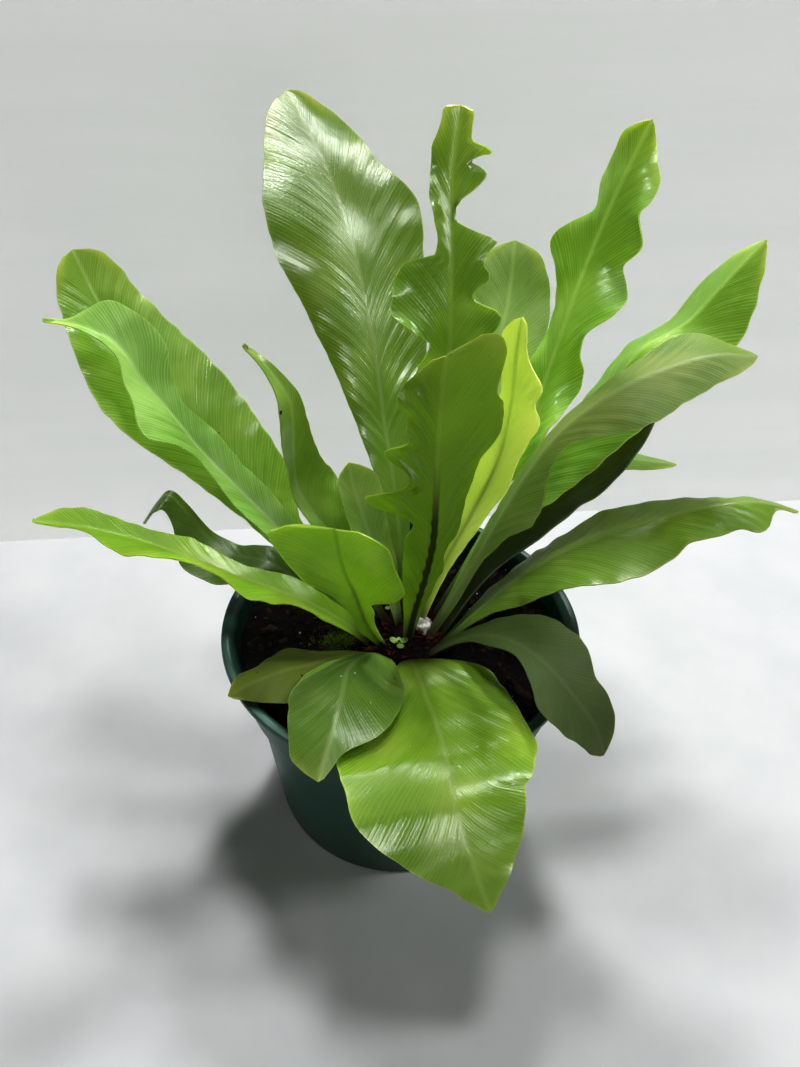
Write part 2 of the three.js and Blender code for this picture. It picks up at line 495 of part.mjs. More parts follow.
function potGeometry() {
  const outline = [
    [0, 0], [BASE_RADIUS - EDGE_BREAK, 0], [BASE_RADIUS, EDGE_BREAK],
    [BODY_TOP_RADIUS, COLLAR_BOTTOM_Z - EDGE_BREAK],
    [COLLAR_BOTTOM_RADIUS - EDGE_BREAK, COLLAR_BOTTOM_Z - EDGE_BREAK], [COLLAR_BOTTOM_RADIUS, COLLAR_BOTTOM_Z],
    [COLLAR_TOP_RADIUS, rimFoot - EDGE_BREAK], [RIM_RADIUS - EDGE_BREAK, rimFoot],
    [RIM_RADIUS, rimFoot + EDGE_BREAK], [RIM_RADIUS, POT_HEIGHT - EDGE_BREAK],
    [RIM_RADIUS - EDGE_BREAK, POT_HEIGHT], [RIM_RADIUS - RIM_WIDTH, POT_HEIGHT],
    ...potInside.slice().reverse(),
  ];
  let pot = toSolid(turned(outline, POT_SIDES));
  for (let i = 0; i < DRAIN_HOLES; i += 1) {
    const angle = (2 * Math.PI * (i + 0.5)) / DRAIN_HOLES;
    const hole = new THREE.CylinderGeometry(DRAIN_HOLE_RADIUS, DRAIN_HOLE_RADIUS, 3 * FLOOR, DRAIN_HOLE_SIDES)
      .rotateX(Math.PI / 2)
      .translate(DRAIN_RING_RADIUS * Math.cos(angle), DRAIN_RING_RADIUS * Math.sin(angle), FLOOR / 2);
    pot = pot.subtract(toSolid(hole));
  }
  return toGeometry(pot);
}

function mixHeight(x, y) {
  const lumps = MIX_LUMPS.map(([height, alongX, alongY, phase]) => (
    height * Math.sin(alongX * x + alongY * y + phase)));
  return lumps.reduce((sum, lump) => sum + lump, MIX_LEVEL);
}

function mixGeometry() {
  const collarSlope = (COLLAR_TOP_RADIUS - COLLAR_BOTTOM_RADIUS) / (rimFoot - COLLAR_BOTTOM_Z);
  const wallRadius = collarInside - CLEARANCE - (rimFoot - MIX_LEVEL) * collarSlope;
  const top = Array.from({ length: MIX_RINGS }, (_, i) => [wallRadius * (1 - i / MIX_RINGS), MIX_LEVEL]);
  const outline = [
    [0, FLOOR + CLEARANCE], [BASE_RADIUS - WALL - CLEARANCE, FLOOR + CLEARANCE],
    [bodyInside - CLEARANCE, COLLAR_BOTTOM_Z - WALL + CLEARANCE],
    [COLLAR_BOTTOM_RADIUS - WALL - CLEARANCE, COLLAR_BOTTOM_Z + 2 * CLEARANCE],
    ...top, [0, MIX_LEVEL],
  ];
  return moveEach(turned(outline, POT_SIDES), (x, y, z) => [x, y, z > MIX_LEVEL - 1 ? mixHeight(x, y) : z]);
}

// The crown: a short dome of overlapping scales, which its relief stands for
function crownGeometry(spare = 0) {
  const dome = moveEach(turned(grown(CROWN_OUTLINE, CROWN_TOP_Z, spare), CROWN_SIDES), (x, y, z) => {
    const turn = (CROWN_SIDES / 2) * Math.atan2(y, x) + SCALE_TWIST * z;
    const growth = 1 + (SCALE_RELIEF * Math.cos(turn)) / Math.max(Math.hypot(x, y), 1);
    return [x * growth, y * growth, z];
  });
  return dome.translate(...CROWN_CENTRE, 0);
}

function mossGeometry(spare = 0) {
  const cushion = moveEach(turned(grown(MOSS_OUTLINE, MOSS_TOP_Z, spare), MOSS_SIDES), (x, y, z) => {
    const angle = Math.atan2(y, x);
    const stretch = 1 + 0.12 * Math.sin(3 * angle + 1) + 0.08 * Math.sin(5 * angle);
    return [x * stretch, y * stretch, z];
  });
  return cushion.translate(...MOSS_CENTRE, 0);
}

function perliteGeometry(spare = 0) {
  const lump = moveEach(new THREE.IcosahedronGeometry(1, 1), (...way) => {
    const relief = 1 + PERLITE_RELIEF * Math.sin(5 * way[0] + 2) * Math.cos(4 * way[1] - 3 * way[2]);
    return way.map((share, k) => share * (PERLITE_RADII[k] * relief + spare));
  });
  return lump.translate(...PERLITE_CENTRE);
}

function stemGeometry(spare = 0) {
  const [x, y, z] = SEEDLING_FOOT;
  const radius = SEEDLING_STEM_RADIUS + spare;
  const height = SEEDLING_HEIGHT + spare;
  return new THREE.CylinderGeometry(radius, radius, height, 10)
    .rotateX(Math.PI / 2)
    .translate(x, y, z + SEEDLING_HEIGHT / 2 - spare / 2);
}

function seedlingGeometry() {
  const [x, y, z] = SEEDLING_FOOT;
  let seedling = toSolid(stemGeometry());
  SEEDLING_LEAVES.forEach(([direction, length]) => {
    const leaf = new THREE.CylinderGeometry(1, 1, SEEDLING_LEAF_THICKNESS, 12)
      .rotateX(Math.PI / 2)
      .scale(length, 0.72 * length, 1)
      .translate(length * 0.9, 0, 0)
      .rotateY(SEEDLING_LEAF_TILT)
      .rotateZ(radians(direction))
      .translate(x, y, z + SEEDLING_HEIGHT - SEEDLING_LEAF_THICKNESS);
    seedling = seedling.add(toSolid(leaf));
  });
  return toGeometry(seedling);
}

function crownWithSockets() {
  let crown = toSolid(crownGeometry());
  Object.values(FRONDS).forEach((frond) => {
    const rows = Math.ceil((frond.steps * SOCKET_LENGTH) / ribOf(frond).length) + 1;
    const stalk = frondGeometry(frond, evenShares(frond.steps).slice(0, rows), SOCKET_CLEARANCE);
    crown = crown.subtract(toSolid(stalk));
  });
  crown = crown.subtract(toSolid(stemGeometry(SOCKET_CLEARANCE)));
  return toGeometry(crown.subtract(toSolid(perliteGeometry(CLEARANCE))));
}

function mixWithHoles() {
  const mix = toSolid(mixGeometry()).subtract(toSolid(crownGeometry(SOCKET_CLEARANCE)));
  return toGeometry(mix.subtract(toSolid(mossGeometry(CLEARANCE))));
}

const group = new THREE.Group();

function addMesh(name, geometry, colour, roughness) {
  const material = new THREE.MeshStandardMaterial({ color: colour, roughness, metalness: 0 });
  const mesh = new THREE.Mesh(geometry, material);
  mesh.name = name;
  group.add(mesh);
}

addMesh('pot', potGeometry(), 0x1f4a3c, 0.45);
addMesh('potting_mix', mixWithHoles(), 0x2a211b, 0.95);
addMesh('crown', crownWithSockets(), 0x3b1f17, 0.7);
Object.entries(FRONDS).forEach(([name, frond]) => {
  addMesh(name, frondGeometry(frond, evenShares(frond.steps)), frond.colour, 0.35);
});

addMesh('perlite', perliteGeometry(), 0xe9e6dc, 0.9);
addMesh('moss_mound', mossGeometry(), 0x4c5a26, 0.95);
addMesh('seedling', seedlingGeometry(), 0x6fae33, 0.5);

export default group;
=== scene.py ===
# Looks of a potted bird's-nest fern: 22 strap-shaped fronds in a scaly crown, in a plastic
# nursery pot of bark and peat mix. Lengths in the tables are millimetres, the scene is in metres.
from math import atan2, cos, pi, radians, sin, sqrt

import bpy
import numpy as np
from mathutils import Euler, Matrix, Vector, noise


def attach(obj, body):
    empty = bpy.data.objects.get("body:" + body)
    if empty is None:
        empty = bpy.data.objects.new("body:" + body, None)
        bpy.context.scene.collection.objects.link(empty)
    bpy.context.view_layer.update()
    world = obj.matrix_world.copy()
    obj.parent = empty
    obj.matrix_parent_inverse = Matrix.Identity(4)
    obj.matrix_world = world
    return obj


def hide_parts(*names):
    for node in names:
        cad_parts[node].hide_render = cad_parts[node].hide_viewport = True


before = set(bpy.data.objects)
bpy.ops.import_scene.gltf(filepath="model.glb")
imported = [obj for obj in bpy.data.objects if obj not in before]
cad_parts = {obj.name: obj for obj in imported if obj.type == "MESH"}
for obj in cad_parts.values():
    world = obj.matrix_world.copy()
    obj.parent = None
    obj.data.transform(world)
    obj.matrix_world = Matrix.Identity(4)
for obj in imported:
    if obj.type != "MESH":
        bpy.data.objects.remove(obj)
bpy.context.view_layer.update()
MM = 0.001

# Pot and mix
RIM_RADIUS, RIM_WIDTH, RIM_BAND, POT_HEIGHT = 80, 3.5, 3, 108
COLLAR_TOP_RADIUS, COLLAR_BOTTOM_RADIUS, COLLAR_BOTTOM_Z = 76, 72.3, 80
BODY_TOP_RADIUS, BASE_RADIUS = 68.6, 61
WALL, FLOOR = 1.7, 2
DRAIN_HOLES, DRAIN_RING_RADIUS, DRAIN_HOLE_RADIUS = 8, 50, 5
CUTTER_TURN = .05  # keeps the holes' corners off the base's spokes, so that the cuts close
MIX_LEVEL, MIX_CLEARANCE, MIX_RINGS = 96.5, .3, 54
MIX_LUMPS = [(.4, .41, .23, 0), (.32, -.19, .33, 1), (.2, .77, -.69, .9), (.2, .77, .69, 3.3)]
CROWN_CENTRE = (1, -2)
CROWN_RADIUS, CROWN_TOP_Z, CROWN_SCALES = 20, 106, 420
PERLITE_CENTRE = (10, -2.2, 106.4)
SEEDLING_FOOT, SEEDLING_HEIGHT = (-.6, -13.3, 98), 9
SEEDLING_LEAVES = [(160, 2), (25, 1.9), (285, 2.1), (95, 1.3)]  # heading, radius
SPROUTS = 16
MOSS_CENTRE, MOSS_RADIUS, MOSS_MIDDLE_Z, MOSS_TOP_Z = (-28, -4), 7, 95.6, 99.6
MOSS_TUFTS = 900

# Grit and scars on the blades: frond, share of the length, place across it (-1 to 1), size in mm
WHITE_FLECKS = [
    ("frond_front_left", .42, .12, 1.1), ("frond_front_left", .47, -.1, .8),
    ("frond_front_left", .6, .5, .7), ("frond_front", .62, .8, .9), ("frond_front", .45, -.3, .5),
    ("frond_left_high", .5, .2, .5), ("frond_right_high", .86, .3, .6)]
BROWN_SCARS = [
    ("frond_left_yellow", .58, .3, 1.3), ("frond_left_yellow", .8, -.5, 1),
    ("frond_right_high", .7, -.4, .9), ("frond_left_folded", .8, .9, 2.2),
    ("frond_left_high", .55, -.3, .7), ("frond_front_left", .3, .8, .8)]

# Blades: their skin and thickness, then the length of the waves in their surface and margins.
# A narrow half has waves in proportion, and they fade at the stalk and at the tip.
UPPER_SKIN = .35
MARGIN_THICKNESS = .6
RIB_TIP_THICKNESS, RIB_BASE_THICKNESS, RIB_TAPER_SHARE = 1.2, 3.2, .6
GRID_STEP = 1.6
FULL_WAVE_WIDTH = 12
QUILT_SPACING, RAGGED_LENGTH, RUFFLE_LENGTH = 7, 9, 14
SWELL, SWELL_LENGTH, SWELL_WIDTH = .35, 38, 30
STALK_SHARE, STALK_FADE, TIP_FADE = .12, .1, .08
TIP_ROUNDING = 5
# Real veins are about 1 mm apart and fan out from the rib. They are drawn a little coarser,
# to show in the picture.
VEIN_SPACING, VEIN_SLANT, VEIN_BOW, VEIN_BOW_WIDTH = 1.8, .7, 15, 10
VEIN_START = 400  # each frond's pattern starts that much further on, so that no two are alike

# One row for each frond, as in the part: the rib's route is (outward, to the left, up) from
# the crown's axis, left and right are half-widths as (share of the length, mm), and start from
# the foot's. Of the pairs for the left and the right side, fold is each half's slope and curl
# its bend in degrees, wave the height of the margin's waves, their number and phase, and sweep
# how far the margin runs ahead of its place on the rib.
FOOT = (0, 1.8)
NO_WAVE = (0, 1, 0)
FRONDS = {
    "frond_back_left": dict(
        heading=112, roll=10, fold=(0, 5), wave=((1.5, 2, 0), (2.5, 2.5, .3)),
        curl=([(0, 0), (.35, -25), (.52, -55), (.66, -45), (.78, 0), (1, 0)], 0),
        rib=[(7, -1, 101), (14, -4, 125), (26, -6, 152), (50, -8, 187), (72, -10, 218),
             (92, -9, 246), (110, -4, 273), (126, 7, 300)],
        left=[(.1, 3), (.28, 7), (.39, 12), (.53, 21), (.65, 28), (.74, 34), (.82, 34), (.91, 25),
              (.97, 15), (1, 8)],
        right=[(.1, 3), (.28, 10), (.4, 18), (.55, 27), (.68, 32), (.78, 34), (.84, 24), (.91, 18),
               (.96, 12), (1, 5)]),
    "frond_back_lobed": dict(
        heading=80, fold=(10, 10), wave=((4, 5, .1), (3, 6, .2)),
        sweep=([(0, 0), (.6, 0), (.72, 3), (.95, 2), (1, 1)],
               [(0, 0), (.6, 0), (.7, 5), (.9, 4), (.95, 1), (1, 1)]),
        rib=[(5, -3, 102), (15, -8, 152), (22, -10, 192), (29, -10, 230), (34, -8, 262),
             (38, -6, 290), (40, -7.5, 310)],
        left=[(.15, 3), (.35, 8), (.55, 12), (.6, 11), (.625, 8), (.64, 15), (.66, 20.5),
              (.7, 21.5), (.73, 20), (.745, 16), (.755, 7), (.77, 5), (.82, 6.5), (.86, 7),
              (.9, 7.5), (.925, 8), (.94, 6.5), (.96, 5.7), (1, 5.7)],
        right=[(.15, 3), (.35, 9), (.5, 14), (.6, 11), (.62, 12), (.64, 17), (.66, 19), (.675, 13),
               (.685, 9.5), (.7, 11), (.715, 15), (.73, 12), (.75, 13), (.768, 15.6), (.78, 9),
               (.795, 2.5), (.83, 3), (.85, 7), (.875, 13), (.895, 9), (.903, 6), (.92, 11),
               (.935, 12), (.948, 6), (.96, 5.3), (1, 5.3)]),
    "frond_back": dict(
        heading=78, wave=((2, 2, 0), (2, 2, .5)),
        rib=[(12, 0, 100), (21, -7, 121), (36, -13, 142), (62, -16, 166), (93, -19, 190),
             (117, -22, 214), (131, -21, 238)],
        left=[(.15, 3), (.3, 8), (.5, 16), (.7, 21), (.85, 21), (.93, 17), (.98, 10), (1, 4)],
        right=[(.15, 3), (.3, 8), (.5, 15), (.7, 20), (.85, 20), (.93, 16), (.98, 10), (1, 4)]),
    "frond_back_right": dict(
        heading=42, fold=(-10, -10), wave=((4, 4, .2), (5, 5, 0)),
        rib=[(12, 1, 101), (23, 0, 134), (41, -2, 158), (59, -5, 180), (79, -2, 217), (97, 0, 258),
             (106, -3, 284), (111, -6, 301)],
        left=[(.15, 3), (.35, 8), (.5, 11), (.66, 12), (.73, 12), (.78, 20), (.81, 16), (.84, 9),
              (.885, 14), (.93, 12), (.97, 9), (1, 1)],
        right=[(.15, 3), (.3, 4), (.4, 8), (.49, 12), (.57, 14), (.63, 11), (.69, 19), (.72, 20),
               (.77, 14), (.83, 20), (.86, 14), (.91, 14), (.95, 8), (1, 1)]),
    "frond_left_high": dict(
        heading=155, roll=-20, fold=(15, 15), wave=((2, 2, 0), (1.5, 2, 0)),
        rib=[(12, -2, 100), (35, 2, 120), (62, 4, 140), (84, 4, 166), (107, 4, 190), (128, 4, 212),
             (142, 2, 232), (151, 0, 250)],
        left=[(.12, 3), (.28, 5), (.38, 8), (.44, 12), (.55, 20), (.61, 25), (.71, 28), (.79, 23),
              (.87, 18), (.95, 13), (1, 6)],
        right=[(.12, 4), (.25, 9), (.34, 16), (.41, 22), (.5, 24), (.6, 25), (.72, 24), (.83, 20),
               (.9, 16), (.96, 13), (1, 7)]),
    "frond_left_arching": dict(
        heading=168, roll=-20, fold=(20, 15),
        rib=[(12, 2, 101), (33, 3, 127), (55, 0, 150), (73, -4, 165), (90, -6, 182), (103, -8, 198),
             (112, -8, 211), (118, -9, 221), (124, -8, 227), (135, -7, 231), (147, -5, 232)],
        left=[(.15, 3), (.3, 6), (.45, 9), (.53, 6), (.58, 5), (.62, 9), (.66, 18), (.7, 20),
              (.75, 13), (.82, 6), (.92, 3), (1, 1)],
        right=[(.15, 3), (.3, 7), (.4, 9), (.5, 9), (.6, 10), (.68, 7), (.74, 11), (.8, 16),
               (.87, 15), (.91, 13), (.94, 4), (1, 1)]),
    "frond_right_high": dict(
        heading=25, roll=-5, fold=(-25, -22),
        rib=[(14.5, -2, 99), (32, 1, 134), (55, 3, 162), (76, 4, 184), (93, 6, 201), (108, 7, 218),
             (129, 3, 231), (137, 1, 243), (151, -2, 261)],
        left=[(.12, 3), (.25, 8), (.4, 13), (.55, 16), (.7, 18), (.83, 22), (.9, 21), (.96, 15),
              (1, 2)],
        right=[(.12, 3), (.25, 8), (.4, 15), (.55, 21), (.68, 26), (.84, 22), (.9, 17), (.95, 10),
               (1, 1)]),
    "frond_right_arching": dict(
        heading=14, roll=20, fold=(-25, -15),
        rib=[(6, -9, 100), (30, 1, 134), (44, 4, 162), (54, 4, 183), (65, 2, 201), (80, -1, 216),
             (98, -4, 226), (117, -8, 232), (130, -12, 232)],
        left=[(.12, 3), (.25, 5), (.4, 6), (.5, 6), (.6, 6), (.7, 8), (.78, 12), (.84, 18),
              (.88, 22), (.92, 19), (.96, 11), (1, 3)],
        right=[(.12, 3), (.28, 4), (.34, 8), (.38, 13), (.44, 13), (.5, 8), (.56, 5), (.62, 8),
               (.68, 14), (.76, 18), (.84, 15), (.9, 12), (.96, 8), (1, 2)]),
    "frond_right_shaded": dict(
        heading=12, fold=(5, 20),
        rib=[(14, -5, 98), (34, 0, 127), (64, 6, 152), (76, 10, 161), (88, 12, 166), (98, 13, 176),
             (105, 14, 187), (110, 16, 198)],
        left=[(.12, 3), (.3, 8), (.45, 18), (.6, 28), (.75, 30), (.9, 20), (1, 3)],
        right=[(.12, 3), (.35, 3), (.5, 8), (.6, 11), (.7, 9), (.8, 6), (.92, 4), (1, 1)]),
    "frond_right_back_low": dict(
        heading=30, fold=(-10, -20),
        rib=[(14, 2, 97), (29, 5, 112), (46, 10, 123), (77, 17, 142), (100, 17, 151),
             (118, 14, 153), (135, 6, 151), (151, -2, 148)],
        left=[(.15, 3), (.4, 9), (.65, 11), (.85, 8), (.95, 6), (1, 1)],
        right=[(.15, 3), (.4, 9), (.65, 11), (.85, 7), (.95, 4), (1, 1)]),
    "frond_right_low": dict(
        heading=2, fold=(-15, -10), wave=((1.5, 2, 0), (2, 3, 0)),
        rib=[(11.5, -9, 97), (42, 0, 127), (60, 1, 144), (81, 2, 156), (101, 3, 164), (120, 4, 170),
             (143, 3, 174), (160, 2, 170)],
        left=[(.1, 3), (.2, 8), (.32, 16), (.44, 18), (.55, 21), (.65, 17), (.75, 12), (.85, 8),
              (.95, 5), (1, 1)],
        right=[(.1, 3), (.21, 7), (.33, 15), (.43, 20), (.55, 24), (.65, 22), (.73, 17), (.77, 18),
               (.83, 14), (.87, 15), (.905, 13), (.93, 5), (1, 1)]),
    "frond_centre": dict(
        heading=-60, fold=(-12, 30),
        curl=([(0, 20), (.5, 30), (1, 25)], 0),
        sweep=([(0, 0), (.7, 1), (.9, 2), (.95, 5), (1, 10)], 0),
        rib=[(7, -2, 102), (9, 0, 123), (13, 2, 146), (16, 3, 166), (18, 2, 187), (19, 1, 210),
             (21, 0, 231), (22, 0, 248)],
        left=[(.12, 4), (.25, 7), (.41, 9.5), (.5, 14), (.61, 17.5), (.66, 19), (.72, 26),
              (.77, 29), (.82, 27), (.86, 23), (.9, 26), (.94, 26), (.98, 21), (1, 17)],
        right=[(.12, 4), (.25, 8), (.42, 11), (.53, 13), (.56, 23), (.6, 25), (.625, 15), (.68, 12),
               (.7, 17), (.735, 18), (.755, 12), (.8, 11), (.85, 12), (.89, 15), (.94, 10),
               (1, 3)]),
    "frond_centre_yellow": dict(
        heading=50, fold=(10, 10),
        rib=[(2, -5, 102), (16, -9, 138), (24, -13, 157), (31, -16, 173), (35, -19, 189),
             (38, -19, 204), (39, -19, 221), (40, -18, 235), (41, -18, 245)],
        left=[(.2, 4), (.4, 7), (.6, 8), (.8, 5), (.9, 6), (.96, 6), (1, 2)],
        right=[(.2, 3), (.4, 6), (.5, 8), (.55, 10), (.62, 9), (.7, 12), (.77, 15), (.8, 12),
               (.85, 14), (.9, 6), (.95, 4), (1, 2)]),
    "frond_left_folded": dict(
        heading=150, fold=(15, 10),
        rib=[(7, 1, 102), (26, 3, 136), (40, 6, 154), (49, 7, 167), (51, 6, 186), (51, 5, 197),
             (53, 4, 208), (57, 5, 215), (62, 7, 222), (69, 9, 228)],
        left=[(.2, 4), (.4, 6), (.5, 6), (.6, 5), (.68, 9), (.74, 11), (.8, 10), (.88, 5), (1, 1)],
        right=[(.2, 4), (.35, 14), (.45, 20), (.52, 20), (.62, 14), (.72, 9), (.8, 6), (.9, 3),
               (1, 1)]),
    "frond_left_short": dict(
        heading=130, fold=(10, 10),
        rib=[(2, 0, 102), (11, 2, 133), (21, 4, 150), (28, 4, 162), (32, 4, 170), (35, 3, 177)],
        left=[(.2, 3), (.45, 6), (.7, 8), (.85, 8), (.93, 7), (1, 1)],
        right=[(.2, 3), (.45, 7), (.7, 11), (.85, 12), (.95, 9), (1, 2)]),
    "frond_front_young": dict(
        heading=105, fold=(-20, 42),
        curl=([(0, 40), (1, 60)], 0),
        sweep=([(0, 0), (.6, 0), (.85, 8), (.95, 14), (1, 17)], [(0, 0), (.6, 0), (1, 6)]),
        rib=[(-6, 9, 99), (-7, 17, 116), (-7, 23, 137), (-7, 27, 150), (-6, 29, 162),
             (-6, 30, 171)],
        left=[(.15, 3), (.28, 5), (.4, 5), (.52, 7), (.65, 12), (.73, 18), (.81, 22), (.88, 25),
              (.94, 27), (.98, 26), (1, 22)],
        right=[(.15, 3), (.4, 6), (.5, 9), (.55, 20), (.6, 25), (.67, 26), (.78, 25), (.89, 22),
               (.95, 18), (1, 12)]),
    "frond_left_low": dict(
        heading=183, roll=-10, fold=(20, 20),
        rib=[(13, 5, 97), (24, 5, 111), (45, 5, 128), (70, 2, 138), (85, 1, 146), (105, -1, 154),
             (129, -4, 160), (151, -5, 163)],
        left=[(.12, 5), (.2, 7), (.3, 6), (.36, 11), (.43, 12), (.5, 6), (.6, 4), (.68, 9),
              (.74, 13), (.8, 9), (.86, 3), (.95, 2), (1, 1)],
        right=[(.1, 5), (.2, 6), (.3, 8), (.38, 7), (.46, 6), (.55, 7), (.6, 8), (.7, 6), (.8, 7),
               (.88, 8), (.95, 6), (1, 1)]),
    "frond_left_back_low": dict(
        heading=166, fold=(-5, 10),
        rib=[(15, -1, 98), (40, -2, 112), (67, -2, 127), (83, -4, 126), (97, -7, 131),
             (107, -9, 143), (114, -9, 149), (120, -8, 143), (127, -5, 133)],
        left=[(.15, 4), (.3, 9), (.42, 15), (.55, 20), (.66, 20), (.75, 12), (.82, 9), (.88, 13),
              (.94, 9), (1, 1)],
        right=[(.15, 4), (.3, 8), (.42, 9), (.55, 6), (.68, 4), (.78, 3), (.85, 3), (1, 1)]),
    "frond_front_right": dict(
        heading=-36, roll=10, fold=(5, 5),
        rib=[(13.5, -5.5, 98), (27, 4, 111), (41, 5, 122), (57, 2, 129), (73, -2, 129),
             (85, -3, 122), (96, -2, 110), (101, -1, 97)],
        left=[(.16, 4), (.32, 8), (.43, 15), (.54, 18), (.64, 18), (.74, 13), (.84, 12), (.92, 9),
              (.97, 5), (1, 1)],
        right=[(.2, 3), (.39, 6), (.52, 6), (.6, 10), (.68, 16), (.76, 15), (.86, 11), (.94, 7),
               (1, 1)]),
    "frond_front": dict(
        heading=-76, fold=(-5, -5),
        rib=[(14, -1.5, 98), (19, -1, 104), (25, -1, 107), (41, -1, 109), (62, -1, 112.5),
             (80, -2, 114.5), (92, -3, 111), (105, 0, 95), (116, 7, 69)],
        left=[(.05, 4), (.1, 20), (.15, 29), (.25, 34), (.38, 35), (.5, 36), (.6, 30), (.76, 24),
              (.84, 18), (.92, 10), (1, 1)],
        right=[(.05, 4), (.1, 8), (.17, 16), (.24, 26), (.33, 36), (.42, 40), (.55, 39), (.64, 36),
               (.7, 30), (.78, 22), (.86, 13), (.93, 7), (1, 1)]),
    "frond_front_left": dict(
        heading=-108, fold=(-10, -10),
        rib=[(14, 0, 97), (21, -6, 107), (38, -10, 115), (58, -6, 119), (75, -3, 117),
             (90, -2, 110)],
        left=[(.08, 5), (.16, 13), (.25, 20), (.36, 24), (.55, 24), (.65, 22), (.75, 18), (.8, 13),
              (.85, 7), (.92, 4), (1, 1)],
        right=[(.2, 3), (.3, 5), (.39, 12), (.49, 18), (.57, 21), (.68, 20), (.8, 18), (.88, 16),
               (.95, 12), (1, 4)]),
    "frond_left_yellow": dict(
        heading=212, fold=(-15, -15),
        rib=[(13.5, 4, 97), (30, 1, 104), (47, 3, 109), (62, 4, 114), (75, 4, 114), (84, 3, 111)],
        left=[(.2, 4), (.4, 10), (.55, 14), (.7, 15), (.8, 12), (.88, 8), (.95, 4), (1, 1)],
        right=[(.2, 4), (.31, 6), (.38, 10), (.45, 16), (.55, 16), (.66, 13), (.76, 10), (.86, 9),
               (.94, 8), (1, 1)]),
}

# Each frond's finish, the height of its quilting, of the ruffle of its margins and of their
# raggedness (mm), and how light it is beside others of its finish: partly the frond's own
# lighter or darker green, partly painted light and shade for how much lamp light reaches it
LOOKS = {
    "frond_back_left": ("frond_mid_green", .13, .5, .25, 1),
    "frond_back_lobed": ("frond_mid_green", .3, 2.4, .5, 1.5),
    "frond_back": ("frond_dull_green", .18, .8, .2, 1.6),
    "frond_back_right": ("frond_mid_green", .27, .6, .4, 1.8),
    "frond_left_high": ("frond_mid_green", .15, .6, .4, 1.4),
    "frond_left_arching": ("frond_dull_green", .15, .4, .3, 2.1),
    "frond_right_high": ("frond_mid_green", .15, .4, .4, 1.6),
    "frond_right_arching": ("frond_pale_green", .15, .4, .4, .9),
    "frond_right_shaded": ("frond_dark_green", .18, .4, .2, .5),
    "frond_right_back_low": ("frond_dull_green", .15, .4, .2, 1.1),
    "frond_right_low": ("frond_mid_green", .15, .6, .4, .95),
    "frond_centre": ("frond_bright_green", .6, 2, .4, .9),
    "frond_centre_yellow": ("frond_yellow_green", .18, .4, .3, 1.9),
    "frond_left_folded": ("frond_mid_green", .18, .4, .4, 1.1),
    "frond_left_short": ("frond_pale_green", .18, .4, .3, 1.1),
    "frond_front_young": ("frond_yellow_green", .3, 1.2, .2, 1.1),
    "frond_left_low": ("frond_bright_green", .15, .5, .4, 1.35),
    "frond_left_back_low": ("frond_dark_green", .18, .5, .3, .95),
    "frond_front_right": ("frond_dull_green", .12, .5, .3, .42),
    "frond_front": ("frond_bright_green", .13, .5, .3, 1.25),
    "frond_front_left": ("frond_mid_green", .18, .5, .3, .85),
    "frond_left_yellow": ("frond_olive", .18, .5, .3, .85),
}

# Leaf finishes: colours of the vein, of the tissue between veins, of the rib, of the margin
# and of the underside, then gloss roughness, the share of light let through and its tint
LEAVES = {
    # Grown fronds: waxy, with a clear highlight broken up by the veins
    "frond_mid_green": (
        "#a2c768", "#73a136", "#cade96", "#cfe489", "#97bb6c", .2, .42, "#f2f478"),
    # The same with a duller wax, so that the highlight spreads
    "frond_dull_green": (
        "#98b56c", "#69923e", "#b2c790", "#b6ca8e", "#93ab7a", .34, .38, "#f0f284"),
    # Pale fronds and undersides: chalky and soft
    "frond_pale_green": (
        "#bdd894", "#90b55b", "#d6e5b6", "#f1f2ad", "#a8c38e", .32, .45, "#f2f48a"),
    # Fronds inside the plant: the darker greens are painted shade, and they are thick, so that
    # little light comes through
    "frond_dark_green": (
        "#759a4d", "#53771b", "#9fb574", "#a6bd7a", "#789561", .32, .30, "#e8ee70"),
    # Fresh fronds: thin and bright, with a wet-looking shine
    "frond_bright_green": (
        "#b4d45c", "#8bb62c", "#d0e28a", "#e8f384", "#aed452", .22, .50, "#dcf06c"),
    # A frond short of green: it glows yellow with the light behind it
    "frond_yellow_green": (
        "#eaeea4", "#d2da80", "#7d9636", "#fcf0bb", "#e2eaa6", .28, .55, "#d8e494"),
    # An ageing frond: matt and brownish
    "frond_olive": (
        "#8a9a48", "#6c7f2e", "#8f9c54", "#a39a50", "#7f8f48", .42, .40, "#e8f078"),
    # The youngest frond: as thin as the yellow one, but green
    "young_blade": (
        "#c6e066", "#a6cc3c", "#62861e", "#ecf790", "#b6dc54", .24, .50, "#d0f05c"),
}


# Frond surfaces
def curve(points, at):
    """A smooth curve through (x, y) points"""
    xs, ys = np.array(points, float).T
    gaps = np.diff(xs)
    rises = np.diff(ys) / gaps
    slopes = np.concatenate([rises[:1], (rises[:-1] * gaps[1:] + rises[1:] * gaps[:-1])
                             / (gaps[:-1] + gaps[1:]), rises[-1:]])
    at = np.clip(at, xs[0], xs[-1])
    i = np.clip(np.searchsorted(xs, at) - 1, 0, len(gaps) - 1)
    s = (at - xs[i]) / gaps[i]
    start = (1 + 2 * s) * (1 - s) ** 2 * ys[i] + s * (1 - s) ** 2 * gaps[i] * slopes[i]
    end = s * s * (3 - 2 * s) * ys[i + 1] + s * s * (s - 1) * gaps[i] * slopes[i + 1]
    return start + end


def look_up(table, t):
    """A number, or (share, number) rows followed by a smooth curve"""
    if isinstance(table, list):
        return curve(table, t)[:, None]
    return np.full((len(t), 1), float(table))


def unit(vectors):
    return vectors / np.linalg.norm(vectors, axis=-1, keepdims=True)


